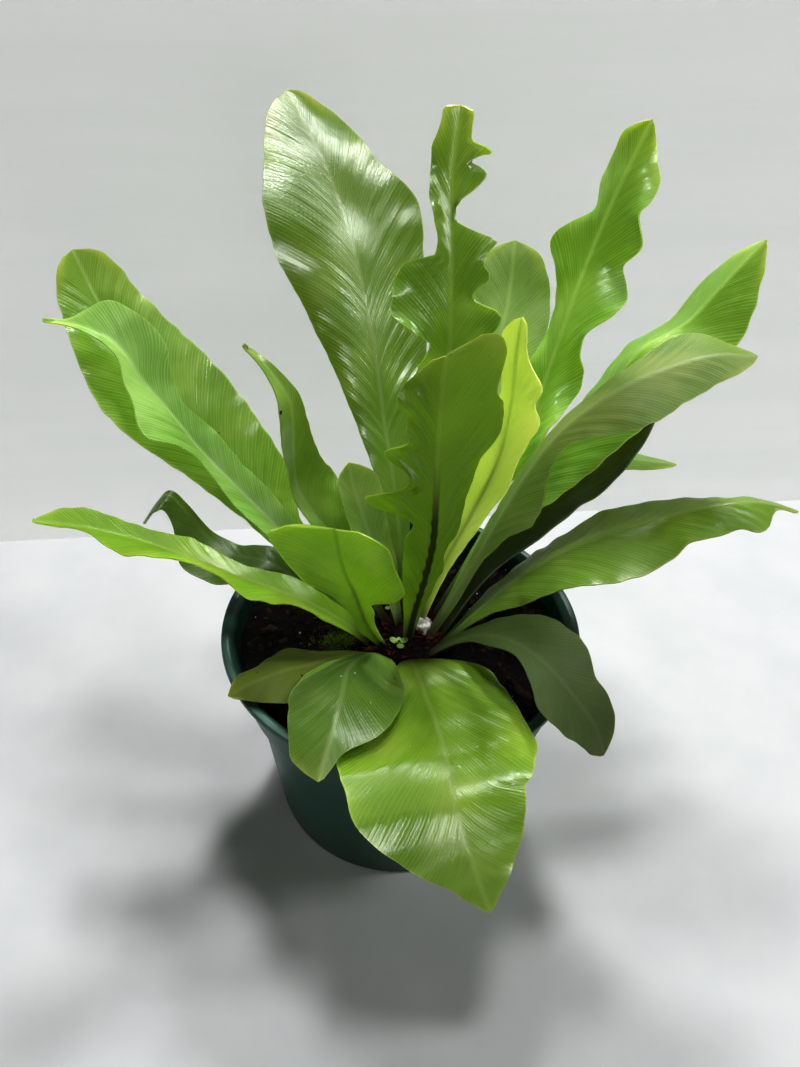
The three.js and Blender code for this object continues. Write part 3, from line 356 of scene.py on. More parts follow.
def rib_of(row):
    """The rib's length, its place and the blade's own axes as functions of the share of it"""
    heading = radians(row["heading"])
    outward = np.array([cos(heading), sin(heading), 0])
    leftward = np.array([-sin(heading), cos(heading), 0])
    points = np.array([[*CROWN_CENTRE, up] + out * outward + left * leftward
                       for out, left, up in row["rib"]])
    marks = np.concatenate([[0], np.cumsum(np.linalg.norm(np.diff(points, axis=0), axis=1))])
    length = marks[-1]

    def place(t):
        routes = [np.stack([marks, points[:, k]], 1) for k in range(3)]
        return np.stack([curve(route, t * length) for route in routes], 1)

    def axes(t):
        along = unit(place(np.minimum(t + .01, 1)) - place(np.maximum(t - .01, 0)))
        across = unit(leftward - along * (along @ leftward)[:, None])
        upper = np.cross(along, across)
        roll = radians(row.get("roll", 0))
        return (along, across * cos(roll) + upper * sin(roll),
                upper * cos(roll) - across * sin(roll))

    return length, place, axes


def ripple(a, b, seed):
    """Smooth unevenness between about -1 and 1 with waves near one unit of a and b"""
    total = np.zeros(np.broadcast(a, b).shape)
    for k in range(5):
        turn = 2.4 * k + seed
        way = a * cos(turn) + b * sin(turn)
        total += np.sin(6.3 * (.7 + .17 * k) * way + 3.1 * turn)
    return total / 3.2


def blade(name, t, u):
    """Points of the upper face in mm for shares t of the rib and u from the right margin (-1)
    to the left one (1), with each point's distance from the rib, along it and along the veins,
    which leave the rib at a slant"""
    row = FRONDS[name]
    quilt, ruffle, ragged = LOOKS[name][1:4]
    seed = list(FRONDS).index(name) * 1.7
    length, place, axes = rib_of(row)
    ahead, left, upper = (v[:, None, :] for v in axes(t))
    middle = place(t)[:, None, :]
    is_left = (u >= 0)[None, :]
    q = np.abs(u)[None, :]

    def sides(left_table, right_table):
        return np.where(is_left, look_up(left_table, t), look_up(right_table, t))

    width = np.maximum(sides([FOOT] + row["left"], [FOOT] + row["right"]), .4)
    along = (t * length)[:, None]
    stalk = np.clip((t[:, None] - STALK_SHARE) / STALK_FADE, 0, 1)
    rags = ragged * stalk * ripple(along / RAGGED_LENGTH, is_left * 3.7, seed)
    width = width + rags * np.minimum(width / 8, 1)
    tip = np.minimum(width * .6, TIP_ROUNDING)
    blunt = np.sqrt(np.clip(1 - (1 - np.minimum((length - along) / tip, 1)) ** 2, .002, 1))
    width = width * blunt
    fold = np.radians(sides(*row.get("fold", (0, 0))))
    bend = np.radians(sides(*row.get("curl", (0, 0))))
    bend = np.where(np.abs(bend) < 1e-4, 1e-4, bend)
    slope = fold + bend * q
    wave = 0
    waves = row.get("wave", (NO_WAVE, NO_WAVE))
    for here, (height, number, phase) in zip((is_left, ~is_left), waves):
        wave = wave + here * height * np.sin(2 * np.pi * (number * t[:, None] + phase))
    wave = wave * q ** 2 * np.minimum(width / FULL_WAVE_WIDTH, 1)
    side = np.where(is_left, 1, -1)
    across = side * (width * (np.sin(slope) - np.sin(fold)) / bend - wave * np.sin(slope))
    lift = width * (np.cos(fold) - np.cos(slope)) / bend + wave * np.cos(slope)
    sweep = sides(*row.get("sweep", (0, 0))) * q * blunt
    points = middle + across[..., None] * left + lift[..., None] * upper + sweep[..., None] * ahead
    normal = unit(np.cross(np.gradient(points, axis=0), np.gradient(points, axis=1)))
    off = side * width * q
    along = along + sweep
    bow = VEIN_BOW * (1 - np.exp(-np.abs(off) / VEIN_BOW_WIDTH))
    vein = along - VEIN_SLANT * np.abs(off) - bow
    quilting = np.sin(2 * np.pi * vein / QUILT_SPACING + ripple(vein / 20, off / 20, seed))
    relief = quilt * quilting * q * (1 - q) * 4
    relief = relief + ruffle * q ** 3 * ripple(along / RUFFLE_LENGTH, is_left * 5.3, seed + 1)
    relief = relief + SWELL * ripple(along / SWELL_LENGTH, off / SWELL_WIDTH, seed + 2)
    end = np.clip((1 - t[:, None]) / TIP_FADE, 0, 1)
    relief = relief * np.minimum(width / FULL_WAVE_WIDTH, 1) * stalk * end
    return points + (UPPER_SKIN + relief)[..., None] * normal, off, along, vein


def active(name):
    thing = bpy.context.active_object
    thing.name = thing.data.name = name
    return thing


def new_object(name, mesh):
    thing = bpy.data.objects.new(name, mesh)
    bpy.context.collection.objects.link(thing)
    return thing


def keep_values(mesh, name, values):
    mesh.attributes.new(name, "FLOAT", "POINT").data.foreach_set("value", values)


def select(thing):
    bpy.ops.object.select_all(action="DESELECT")
    thing.select_set(True)
    bpy.context.view_layer.objects.active = thing


def apply_modifiers(thing):
    select(thing)
    for modifier in list(thing.modifiers):
        bpy.ops.object.modifier_apply(modifier=modifier.name)


def smooth(thing, angle=50):
    select(thing)
    bpy.ops.object.shade_smooth_by_angle(angle=radians(angle))


def build_frond(name):
    """One blade: a grid laid on its upper face, given a thickness downwards, with its veins and
    distances kept as UV maps for the materials"""
    row = FRONDS[name]
    length = rib_of(row)[0]
    widest = max(w for _, w in row["left"] + row["right"])
    rows = round(length / GRID_STEP)
    columns = 2 * max(8, round(widest / GRID_STEP))
    bpy.ops.mesh.primitive_grid_add(x_subdivisions=columns, y_subdivisions=rows, size=2)
    thing = active(name + "_leaf")
    mesh = thing.data
    grid = np.empty(len(mesh.vertices) * 3)
    mesh.vertices.foreach_get("co", grid)
    grid = grid.reshape(-1, 3)
    i = np.rint((grid[:, 1] + 1) / 2 * rows).astype(int)
    j = np.rint((1 - grid[:, 0]) / 2 * columns).astype(int)
    t = np.linspace(0, 1, rows + 1)
    u = np.linspace(-1, 1, columns + 1)
    points, off, along, vein = blade(name, t, u)
    mesh.vertices.foreach_set("co", (points[i, j] * MM).ravel())
    start = list(FRONDS).index(name) * VEIN_START
    corners = np.empty(len(mesh.loops), int)
    mesh.loops.foreach_get("vertex_index", corners)
    from_rib = np.abs(u)[None, :] + 0 * off
    for layer, pair in (("blade", (off, along)), ("veins", (vein + start, from_rib))):
        values = np.stack([p[i, j] for p in pair], 1)
        values[:, 0] *= MM
        if layer == "blade":
            values[:, 1] *= MM
        mesh.uv_layers.new(name=layer).data.foreach_set("uv", values[corners].ravel())
    # each frond's tone: partly its own green, partly painted light and shade
    tones = np.full(len(i), LOOKS[name][4])
    keep_values(mesh, "share", t[i])
    keep_values(mesh, "tone", tones)
    near_rib = (1 - np.abs(u[j])) ** 2
    taper = np.minimum(t[i] / RIB_TAPER_SHARE, 1)
    rib = RIB_BASE_THICKNESS + (RIB_TIP_THICKNESS - RIB_BASE_THICKNESS) * taper
    weight = (MARGIN_THICKNESS + (rib - MARGIN_THICKNESS) * near_rib) / RIB_BASE_THICKNESS
    group = thing.vertex_groups.new(name="thickness")
    steps = np.rint(weight * 100).astype(int)
    for step in np.unique(steps):
        group.add(np.nonzero(steps == step)[0].tolist(), step / 100, "REPLACE")
    thickness = thing.modifiers.new("thickness", "SOLIDIFY")
    thickness.thickness = RIB_BASE_THICKNESS * MM
    thickness.offset = -1
    thickness.vertex_group = "thickness"
    thickness.material_offset = 1
    finish = LOOKS[name][0]
    look = "young_blade" if name == "frond_front_young" else finish  # greener than its slot's
    mesh.materials.append(MATERIALS[look])
    mesh.materials.append(MATERIALS[look + "_underside"])
    apply_modifiers(thing)
    smooth(thing)
    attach(thing, "root")
    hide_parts(name)


# Materials
KEEL_BROWN, FOOT_BROWN, TIP_YELLOW = "#2c1a10", "#2b1a12", "#dbe07a"
TINT_SHARE = .6  # of the light through a blade, the rest takes the blade's own colour


def srgb(code):
    """The linear colour of a #rrggbb code"""
    parts = [int(code[i:i + 2], 16) / 255 for i in (1, 3, 5)]
    return tuple(p / 12.92 if p <= .04045 else ((p + .055) / 1.055) ** 2.4 for p in parts) + (1,)


def add(tree, kind, inputs, output=0, **settings):
    """Adds a node with its settings, its inputs set or linked, and returns one of its outputs"""
    node = tree.nodes.new("ShaderNode" + kind)
    for key, value in settings.items():
        setattr(node, key, value)
    for key, value in inputs.items():
        if isinstance(value, bpy.types.NodeSocket):
            tree.links.new(value, node.inputs[key])
        else:
            node.inputs[key].default_value = value
    return node.outputs[output]


def new_material(name):
    material = bpy.data.materials.new(name)
    material.use_nodes = True
    tree = material.node_tree
    tree.nodes.clear()
    MATERIALS[name] = material
    return tree


def sums(tree, operation, *values):
    return add(tree, "Math", dict(enumerate(values)), operation=operation)


def mix(tree, factor, first, second):
    return add(tree, "Mix", {0: factor, 6: first, 7: second}, 2, data_type="RGBA")


def ramp(tree, value, low, high, start=0.0, end=1.0):
    """Goes smoothly from start to end as the value goes from low to high"""
    return add(tree, "MapRange", {0: value, 1: low, 2: high, 3: start, 4: end},
               interpolation_type="SMOOTHSTEP")


def spots(tree, vector, size, detail=2.0, roughness=.5):
    """Noise with features of about that size in mm"""
    return add(tree, "TexNoise", {
        "Vector": vector, "Scale": 1 / (size * MM), "Detail": detail, "Roughness": roughness})


def split(tree, uv_map):
    """The node that gives a UV map's two values"""
    pair = add(tree, "UVMap", {}, uv_map=uv_map)
    return add(tree, "SeparateXYZ", {0: pair}).node


def output(tree, shader):
    tree.links.new(shader, tree.nodes.new("ShaderNodeOutputMaterial").inputs["Surface"])


def leaf_material(name, underside):
    """A waxy blade: pale veins fanned out from the rib over greener tissue, blotches, a yellowish
    tip, brown feet, fine grain in the shine, and light coming through from the other side"""
    vein_colour, tissue_colour, rib, margin, under, gloss, through, tint = LEAVES[name]
    tree = new_material(name + ("_underside" if underside else ""))
    veins, blade_uv = split(tree, "veins"), split(tree, "blade")
    share = add(tree, "Attribute", {}, 2, attribute_name="share")
    tone = add(tree, "Attribute", {}, 2, attribute_name="tone")
    place = add(tree, "TexCoord", {}, 3)
    vein, q = veins.outputs[0], veins.outputs[1]
    off = sums(tree, "ABSOLUTE", blade_uv.outputs[0])

    # Patterns: strands run along the veins because they are stretched ten times that way
    stretched = add(tree, "CombineXYZ", {
        0: vein, 1: sums(tree, "MULTIPLY", blade_uv.outputs[0], .1)})
    streak = spots(tree, stretched, 1.1, 3.0, .6)
    drift = spots(tree, stretched, 7, 1.0)
    turns = sums(tree, "MULTIPLY", vein, 2 * pi / (VEIN_SPACING * MM))
    phase = sums(tree, "MULTIPLY_ADD", drift, 9.0, turns)
    line = ramp(tree, sums(tree, "SINE", phase), -.2, 1.0)
    strands = sums(tree, "MULTIPLY_ADD", line, .3, sums(tree, "MULTIPLY", streak, .9))
    blotch = spots(tree, place, 24, 2.0)

    # Colour
    pale = under if underside else vein_colour
    colour = mix(tree, ramp(tree, strands, .2, 1.1), srgb(tissue_colour), srgb(pale))
    colour = mix(tree, ramp(tree, blotch, .45, .7, 0.0, .3), colour, srgb(margin))
    colour = mix(tree, ramp(tree, blotch, .25, .5, .35, 0.0), colour, srgb(tissue_colour))
    if underside:
        keel = sums(tree, "MULTIPLY", ramp(tree, off, .7 * MM, 1.6 * MM, .9, .0),
                    ramp(tree, share, .5, .75, 1.0, 0.0))
        colour = mix(tree, ramp(tree, off, .3 * MM, 1.2 * MM, .4, 0.0), colour, srgb(rib))
        colour = mix(tree, keel, colour, srgb(KEEL_BROWN))
        tinted = sums(tree, "MULTIPLY_ADD", keel, -TINT_SHARE, TINT_SHARE)
    else:
        colour = mix(tree, ramp(tree, off, .2 * MM, 1.6 * MM, .45, 0.0), colour, srgb(rib))
    # A pale line along the margin: partly the margin's own paler colour, partly a painted highlight
    # on its edge
    colour = mix(tree, ramp(tree, q, .97, 1.0, 0.0, .5), colour, srgb(margin))
    tip = sums(tree, "MULTIPLY", ramp(tree, share, .9, 1.0), ramp(tree, q, .5, 1.0, .1, .7))
    colour = mix(tree, tip, colour, srgb(TIP_YELLOW))
    # Lighter or darker by the frond's tone: partly its own green, partly painted light and shade
    colour = add(tree, "VectorMath", {0: colour, "Scale": tone}, operation="SCALE")
    colour = mix(tree, ramp(tree, share, .03, .15, .9, 0.0), colour, srgb(FOOT_BROWN))

    # Shine: blades darkened by painted shade are duller, and the underside is duller than the upper
    # face
    grain = spots(tree, place, .8, 2.0, .6)
    uneven = spots(tree, stretched, 5, 1.0)
    height = sums(tree, "MULTIPLY_ADD", grain, .8, sums(tree, "MULTIPLY", strands, 1.2))
    height = sums(tree, "MULTIPLY_ADD", uneven, 3.0, height)
    bump = add(tree, "Bump", {"Strength": .7, "Distance": .08 * MM, "Height": height})
    rough = sums(tree, "ADD", ramp(tree, grain, .3, .7, gloss - .04, gloss + .08),
                 ramp(tree, tone, .3, 1.0, .3, -.03))
    shine = max(.1, .94 - 2 * gloss)
    if underside:
        rough = sums(tree, "ADD", rough, .08)
        shine *= .5
    surface = add(tree, "BsdfPrincipled", {
        "Base Color": colour, "Roughness": rough, "Normal": bump, "Specular IOR Level": shine})
    through_colour = mix(tree, tinted if underside else TINT_SHARE, colour, srgb(tint))
    glow = add(tree, "BsdfTranslucent", {"Color": through_colour, "Normal": bump})
    output(tree, add(tree, "MixShader", {0: through, 1: surface, 2: glow}))


def plain_material(name, light, dark, size, rough, bump_mm=0.0, bump_size=1.0, tone=False, glow=0.0,
                   shine=.5, one_sided=False):
    """A finish mottled between two colours, by the copies' own tones where it has them"""
    tree = new_material(name)
    place = add(tree, "TexCoord", {}, 3)
    mottle = spots(tree, place, size, 4.0, .6)
    if tone:
        own = add(tree, "Attribute", {}, 2, attribute_name="tone")
        mottle = sums(tree, "MULTIPLY_ADD", own, .7, sums(tree, "MULTIPLY", mottle, .5))
    colour = mix(tree, ramp(tree, mottle, .3, .7), srgb(dark), srgb(light))
    inputs = {"Base Color": colour, "Specular IOR Level": shine,
              "Roughness": ramp(tree, mottle, .3, .7, rough - .05, rough + .05),
              "Emission Color": colour, "Emission Strength": glow}
    if bump_mm:
        relief = spots(tree, place, bump_size, 5.0, .65)
        inputs["Normal"] = add(tree, "Bump", {
            "Strength": 1.0, "Distance": bump_mm * MM, "Height": relief})
    surface = add(tree, "BsdfPrincipled", inputs)
    if one_sided:
        backfacing = add(tree, "NewGeometry", {}, "Backfacing")
        surface = add(tree, "MixShader", {
            0: backfacing, 1: surface, 2: add(tree, "BsdfTransparent", {})})
    output(tree, surface)


MATERIALS = {}
for kind in LEAVES:
    leaf_material(kind, False)
    leaf_material(kind, True)
# Injection-moulded polypropylene, satin: a broad, soft sheen on the rim and the collar
plain_material("pot_plastic", "#1f5646", "#18483a", 30, .4, .02, .6)
# Wet peat and composted bark: nearly black and without shine, rough at every scale
plain_material("potting_mix", "#1a1410", "#080604", 5, .95, 1.2, 3, shine=.1)
# Chips of bark: browner than the peat, each in its own tone
plain_material("bark", "#3a261b", "#120b08", 3, .85, .25, 1.2, tone=True, shine=.15)
# Crumbs of peat: as dark as the mix that they lie on
plain_material("crumbs", "#241a13", "#090604", 2, .95, .2, .8, tone=True, shine=.15)
# Expanded volcanic glass: chalky white, pitted
plain_material("perlite", "#ffffff", "#f2f0ea", 3, .85, .25, .7, tone=True, shine=.2)
# Papery scales round the growing point: red-brown, dry
plain_material("crown_scales", "#5c2a20", "#150705", 2, .85, .06, .8, tone=True, shine=.06)
# Moss: a matt, two-toned green cushion
plain_material("moss", "#9ab54e", "#3d4f1c", 2, .9, .3, .6, tone=True, shine=.1)
# Seed leaves: smooth and slightly waxy
plain_material("seedling", "#8fb04c", "#5c7f2c", 3, .45, .08, .8, shine=.3)
# Painted board, pale and flat. The wall is open to a view from behind it.
plain_material("floor", "#dddedf", "#d6d8d9", 60, .6, shine=0)
plain_material("wall", "#cfd0cf", "#caccca", 80, .7, .05, 3, glow=.6, one_sided=True)

for name in FRONDS:
    build_frond(name)


# Pot, mix and crown
def turned(name, outline, steps):
    """A body turned about the vertical from a [radius, height] outline in mm"""
    mesh = bpy.data.meshes.new(name)
    mesh.from_pydata([(r * MM, 0, z * MM) for r, z in outline],
                     [(k, k + 1) for k in range(len(outline) - 1)], [])
    thing = new_object(name, mesh)
    select(thing)
    bpy.ops.object.mode_set(mode="EDIT")
    bpy.ops.mesh.select_all(action="SELECT")
    bpy.ops.mesh.spin(steps=steps, angle=2 * pi, center=(0, 0, 0), axis=(0, 0, 1))
    bpy.ops.mesh.select_all(action="SELECT")
    bpy.ops.mesh.remove_doubles(threshold=1e-6)
    bpy.ops.mesh.normals_make_consistent(inside=False)
    bpy.ops.object.mode_set(mode="OBJECT")
    return thing


def finish_piece(thing, material, replaces=None, angle=40):
    thing.data.materials.clear()
    thing.data.materials.append(MATERIALS[material])
    if angle:
        smooth(thing, angle)
    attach(thing, "root")
    if replaces:
        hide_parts(replaces)


def rounded(outline, radius, steps=4):
    """The outline with its inner corners rounded"""
    points = [np.array(p, float) for p in outline]
    result = [outline[0]]
    for before, here, after in zip(points, points[1:], points[2:]):
        back, on = before - here, after - here
        reach = min(radius, np.linalg.norm(back) * .45, np.linalg.norm(on) * .45)
        start, end = here + unit(back) * reach, here + unit(on) * reach
        for k in range(steps + 1):
            f = k / steps
            result.append(tuple((1 - f) ** 2 * start + 2 * f * (1 - f) * here + f * f * end))
    return result + [outline[-1]]


# The rim is a solid ring on top of the wall
rim_foot = POT_HEIGHT - RIM_BAND
inside = [(COLLAR_TOP_RADIUS - WALL, rim_foot), (COLLAR_BOTTOM_RADIUS - WALL, COLLAR_BOTTOM_Z),
          (BODY_TOP_RADIUS - WALL, COLLAR_BOTTOM_Z - WALL), (BASE_RADIUS - WALL, FLOOR), (0, FLOOR)]
outline = [(0, 0), (BASE_RADIUS, 0), (BODY_TOP_RADIUS, COLLAR_BOTTOM_Z - 1),
           (COLLAR_BOTTOM_RADIUS, COLLAR_BOTTOM_Z), (COLLAR_TOP_RADIUS, rim_foot),
           (RIM_RADIUS, rim_foot), (RIM_RADIUS, POT_HEIGHT),
           (RIM_RADIUS - RIM_WIDTH, POT_HEIGHT), *inside]
pot = turned("pot_shell", rounded(outline, 1.0), 144)
for k in range(DRAIN_HOLES):
    angle = 2 * pi * (k + .5) / DRAIN_HOLES
    bpy.ops.mesh.primitive_cylinder_add(
        vertices=32, radius=DRAIN_HOLE_RADIUS * MM, depth=3 * FLOOR * MM,
        location=(DRAIN_RING_RADIUS * MM * cos(angle),
                  DRAIN_RING_RADIUS * MM * sin(angle), FLOOR / 2 * MM),
        rotation=(0, 0, CUTTER_TURN))
    cutter = active("drain_cutter")
    hole = pot.modifiers.new("hole", "BOOLEAN")
    hole.operation = "DIFFERENCE"
    hole.object = cutter
    apply_modifiers(pot)
    bpy.data.objects.remove(cutter)
finish_piece(pot, "pot_plastic", "pot")


def mix_height(x, y):
    """The height of the mix, which is lumpy on two scales"""
    broad = sum(high * sin(along * x + across * y + phase)
                for high, along, across, phase in MIX_LUMPS)
    return MIX_LEVEL + broad + .8 * noise.fractal(Vector((x / 4, y / 4, 2.2)), 1, 2, 4)


collar_slope = (COLLAR_TOP_RADIUS - COLLAR_BOTTOM_RADIUS) / (rim_foot - COLLAR_BOTTOM_Z)
inset = WALL + MIX_CLEARANCE
mix_edge = COLLAR_TOP_RADIUS - inset - (rim_foot - MIX_LEVEL) * collar_slope
mix_outline = [(0, FLOOR + MIX_CLEARANCE), (BASE_RADIUS - inset, FLOOR + MIX_CLEARANCE),
               (BODY_TOP_RADIUS - inset, COLLAR_BOTTOM_Z - WALL + MIX_CLEARANCE),
               (COLLAR_BOTTOM_RADIUS - inset, COLLAR_BOTTOM_Z + .7)]
mix_outline += [(mix_edge * (1 - k / MIX_RINGS), MIX_LEVEL) for k in range(MIX_RINGS + 1)]
mix_body = turned("mix_body", mix_outline, 180)
for vertex in mix_body.data.vertices:
    if vertex.co.z > (MIX_LEVEL - 1) * MM:
        vertex.co.z = mix_height(vertex.co.x / MM, vertex.co.y / MM) * MM
finish_piece(mix_body, "potting_mix", "potting_mix", angle=70)

rng = np.random.default_rng(11)
noise.seed_set(11)  # the chips' noise_vector would otherwise be seeded from the clock


def merged(name, sources, placements, material, angle=40):
    """One mesh of many copies, each placed by (number of its source, matrix, tone)"""
    vertices, faces, tones = [], [], []
    for number, matrix, tone in placements:
        source = sources[number].data
        start = len(vertices)
        vertices += [matrix @ v.co for v in source.vertices]
        faces += [[start + k for k in p.vertices] for p in source.polygons]
        tones += [tone] * len(source.vertices)
    mesh = bpy.data.meshes.new(name)
    mesh.from_pydata(vertices, [], faces)
    keep_values(mesh, "tone", tones)
    finish_piece(new_object(name, mesh), material, angle=angle)
    for source in sources:
        bpy.data.objects.remove(source)


def lump(name, subdivisions, roughness, seed):
    """A rounded stone-like source shape with a radius of about 1 mm"""
    bpy.ops.mesh.primitive_ico_sphere_add(subdivisions=subdivisions, radius=MM)
    thing = active(name)
    for vertex in thing.data.vertices:
        way = vertex.co.normalized()
        size = 1 + roughness * noise.noise(way * 1.7 + Vector((seed, seed * 2.3, 0)))
        vertex.co = way * size * MM
    return thing


def chip(name, seed):
    """A bark chip 2 mm long, with split ends and broken corners"""
    bpy.ops.mesh.primitive_cube_add(size=2 * MM)
    thing = active(name)
    bevel = thing.modifiers.new("worn", "BEVEL")
    bevel.width = .25 * MM
    apply_modifiers(thing)
    for vertex in thing.data.vertices:
        shake = noise.noise_vector(vertex.co / MM * 1.3 + Vector((seed, 0, seed)))
        vertex.co = Vector((vertex.co.x, vertex.co.y * .55, vertex.co.z * .28)) + shake * .28 * MM
    return thing


def turned_matrix(place, size, turns):
    return Matrix.LocRotScale(Vector(place) * MM, turns, Vector(size))


def any_turn(lean):
    return Euler((rng.uniform(-lean, lean), rng.uniform(-lean, lean),
                  rng.uniform(-pi, pi)))


def on_mix(outer):
    """A place on the mix between the crown and a distance from the pot's axis"""
    radius = sqrt(rng.uniform((CROWN_RADIUS + 1) ** 2, outer ** 2))
    angle = rng.uniform(0, 2 * pi)
    x, y = radius * cos(angle), radius * sin(angle)
    return x, y, mix_height(x, y)


def scattered(count, size_low, size_high, sources, sink=.2, lean=pi, outer=71.0):
    """Placements of lumps strewn on the mix, small ones more often than big ones"""
    for _ in range(count):
        x, y, z = on_mix(outer)
        size = size_low * (size_high / size_low) ** rng.random() / 2
        number = rng.integers(sources)
        matrix = turned_matrix((x, y, z + size * sink), (size,) * 3, any_turn(lean))
        yield number, matrix, rng.random()


merged("bark_chips", [chip("chip_a", 1), chip("chip_b", 5), chip("chip_c", 9)],
       scattered(260, 2.2, 6, 3, sink=.1, lean=.5, outer=68.5), "bark")
merged("peat_crumbs", [lump("crumb_a", 1, .6, 1), lump("crumb_b", 1, .6, 4)],
       scattered(1500, .8, 2.6, 2), "crumbs", angle=30)
merged("perlite_specks", [lump("speck_a", 1, .4, 2), lump("speck_b", 1, .4, 7)],
       scattered(54, .5, 1.5, 2, sink=.5), "perlite")


def on_blades(rows):
    """Placements of flat specks lying on the upper faces of blades"""
    for name, share, across, size in rows:
        steps = np.array([-.01, 0, .01])
        points = blade(name, share + steps, np.clip(across + steps * 3, -1, 1))[0]
        normal = np.cross(points[2, 1] - points[0, 1], points[1, 2] - points[1, 0])
        lie = Vector(normal).to_track_quat("Z", "Y")
        stretch = (size / 2, size / 3, size / 8)
        yield 0, turned_matrix(points[1, 1], stretch, lie), rng.uniform(.3, 1)


merged("white_flecks", [lump("fleck_a", 2, .5, 5)], on_blades(WHITE_FLECKS), "perlite")
merged("brown_scars", [lump("scar_a", 2, .5, 8)], on_blades(BROWN_SCARS), "bark")

# The crown's core, and the scales on it and up the foot of each stalk
crown_outline = [(0, 86), (17, 86), (20, 92), (20, 97.5), (18, 100.3), (14, 102.8), (9, 104.8),
                 (0, CROWN_TOP_Z)]
crown = turned("crown_core", rounded(crown_outline, 2), 48)
for vertex in crown.data.vertices:
    vertex.co.x += CROWN_CENTRE[0] * MM
    vertex.co.y += CROWN_CENTRE[1] * MM
finish_piece(crown, "crown_scales", "crown")


def scale_shape(name, bend):
    """A papery scale 6 mm long that tapers to a point and curls outwards"""
    bpy.ops.mesh.primitive_grid_add(x_subdivisions=2, y_subdivisions=5, size=2)
    thing = active(name)
    for vertex in thing.data.vertices:
        f = (vertex.co.y + 1) / 2
        side = vertex.co.x * (.95 * (1 - f) ** .7 * (1 + .5 * f) + .04)
        vertex.co = Vector((side, -bend * f * f - .25 * side * side, 6 * f)) * MM
    thickness = thing.modifiers.new("thickness", "SOLIDIFY")
    thickness.thickness = .18 * MM
    apply_modifiers(thing)
    return thing


def scale_places():
    """Placements all over the crown, standing up in the middle and leaning out at its edge"""
    for _ in range(CROWN_SCALES):
        radius = CROWN_RADIUS * sqrt(rng.random())
        angle = rng.uniform(0, 2 * pi)
        z = np.interp(radius, [0, 9, 14, 18, 20], [105.6, 104.4, 102.4, 99.9, 97])
        place = (CROWN_CENTRE[0] + radius * cos(angle),
                 CROWN_CENTRE[1] + radius * sin(angle), z - .5)
        lean = radius / CROWN_RADIUS * .9 + rng.normal(0, .25)
        turn = Euler((lean, rng.normal(0, .3), angle - pi / 2 + pi + rng.normal(0, .4)))
        size = rng.uniform(.5, 1.0)
        number = int(rng.integers(3))
        yield number, turned_matrix(place, (size,) * 3, turn), rng.random()


scales = [scale_shape("scale_a", .6), scale_shape("scale_b", 1.4), scale_shape("scale_c", 2.2)]
merged("crown_scales_all", scales, scale_places(), "crown_scales")

# The white lump, the mossy patch and the seedling on the mix
white = lump("perlite_lump", 4, .35, 3)
for vertex in white.data.vertices:
    vertex.co *= 1 + .12 * noise.noise(vertex.co / MM * 3)
white.data.transform(turned_matrix(PERLITE_CENTRE, (4.6, 4, 3.6), any_turn(pi)))
finish_piece(white, "perlite", "perlite")

bpy.ops.mesh.primitive_uv_sphere_add(segments=48, ring_count=24, radius=1)
mound = active("moss_cushion")
for vertex in mound.data.vertices:
    angle = atan2(vertex.co.y, vertex.co.x)
    side = MOSS_RADIUS * (1 + .12 * sin(3 * angle + 1) + .08 * sin(5 * angle))
    rough = noise.fractal(vertex.co * 4, 1, 2, 3)
    height = MOSS_MIDDLE_Z + vertex.co.z * (MOSS_TOP_Z - MOSS_MIDDLE_Z) + .3 * rough
    vertex.co = Vector((MOSS_CENTRE[0] + vertex.co.x * side, MOSS_CENTRE[1] + vertex.co.y * side,
                        height)) * MM
finish_piece(mound, "moss", "moss_mound")


def tuft(name, bend):
    """A moss leaf 2 mm long, a thin three-sided spike that bends over"""
    bpy.ops.mesh.primitive_cone_add(vertices=3, radius1=.28 * MM, radius2=.05 * MM, depth=2 * MM)
    thing = active(name)
    for vertex in thing.data.vertices:
        height = vertex.co.z / MM + 1
        vertex.co += Vector((bend * height ** 2, 0, MM))
    return thing


def moss_places():
    """Placements on the cushion, and every third one thinly on the mix round it"""
    for number in range(MOSS_TUFTS):
        spread = MOSS_RADIUS * (1 if number % 3 else 2.1)
        radius, angle = spread * sqrt(rng.random()), rng.uniform(0, 2 * pi)
        x = MOSS_CENTRE[0] + radius * cos(angle)
        y = MOSS_CENTRE[1] + .8 * radius * sin(angle)
        dome = (MOSS_TOP_Z - MIX_LEVEL) * sqrt(max(0, 1 - (radius / MOSS_RADIUS) ** 2))
        foot = (x, y, max(mix_height(x, y), MIX_LEVEL + dome) - .3)
        matrix = turned_matrix(foot, (1, 1, rng.uniform(.5, 1.1)), any_turn(.6))
        yield number % 2, matrix, rng.random()


merged("moss_tufts", [tuft("tuft_a", .15 * MM), tuft("tuft_b", .3 * MM)], moss_places(), "moss",
       angle=0)


def seedling_leaf(name):
    """A round cupped leaf of 1 mm radius, with its foot at the origin"""
    bpy.ops.mesh.primitive_uv_sphere_add(segments=24, ring_count=12, radius=1)
    thing = active(name)
    for vertex in thing.data.vertices:
        x, y, z = vertex.co
        vertex.co = Vector((x + 1.35, .8 * y, .14 * z + .12 * (x * x + y * y))) * MM
    return thing


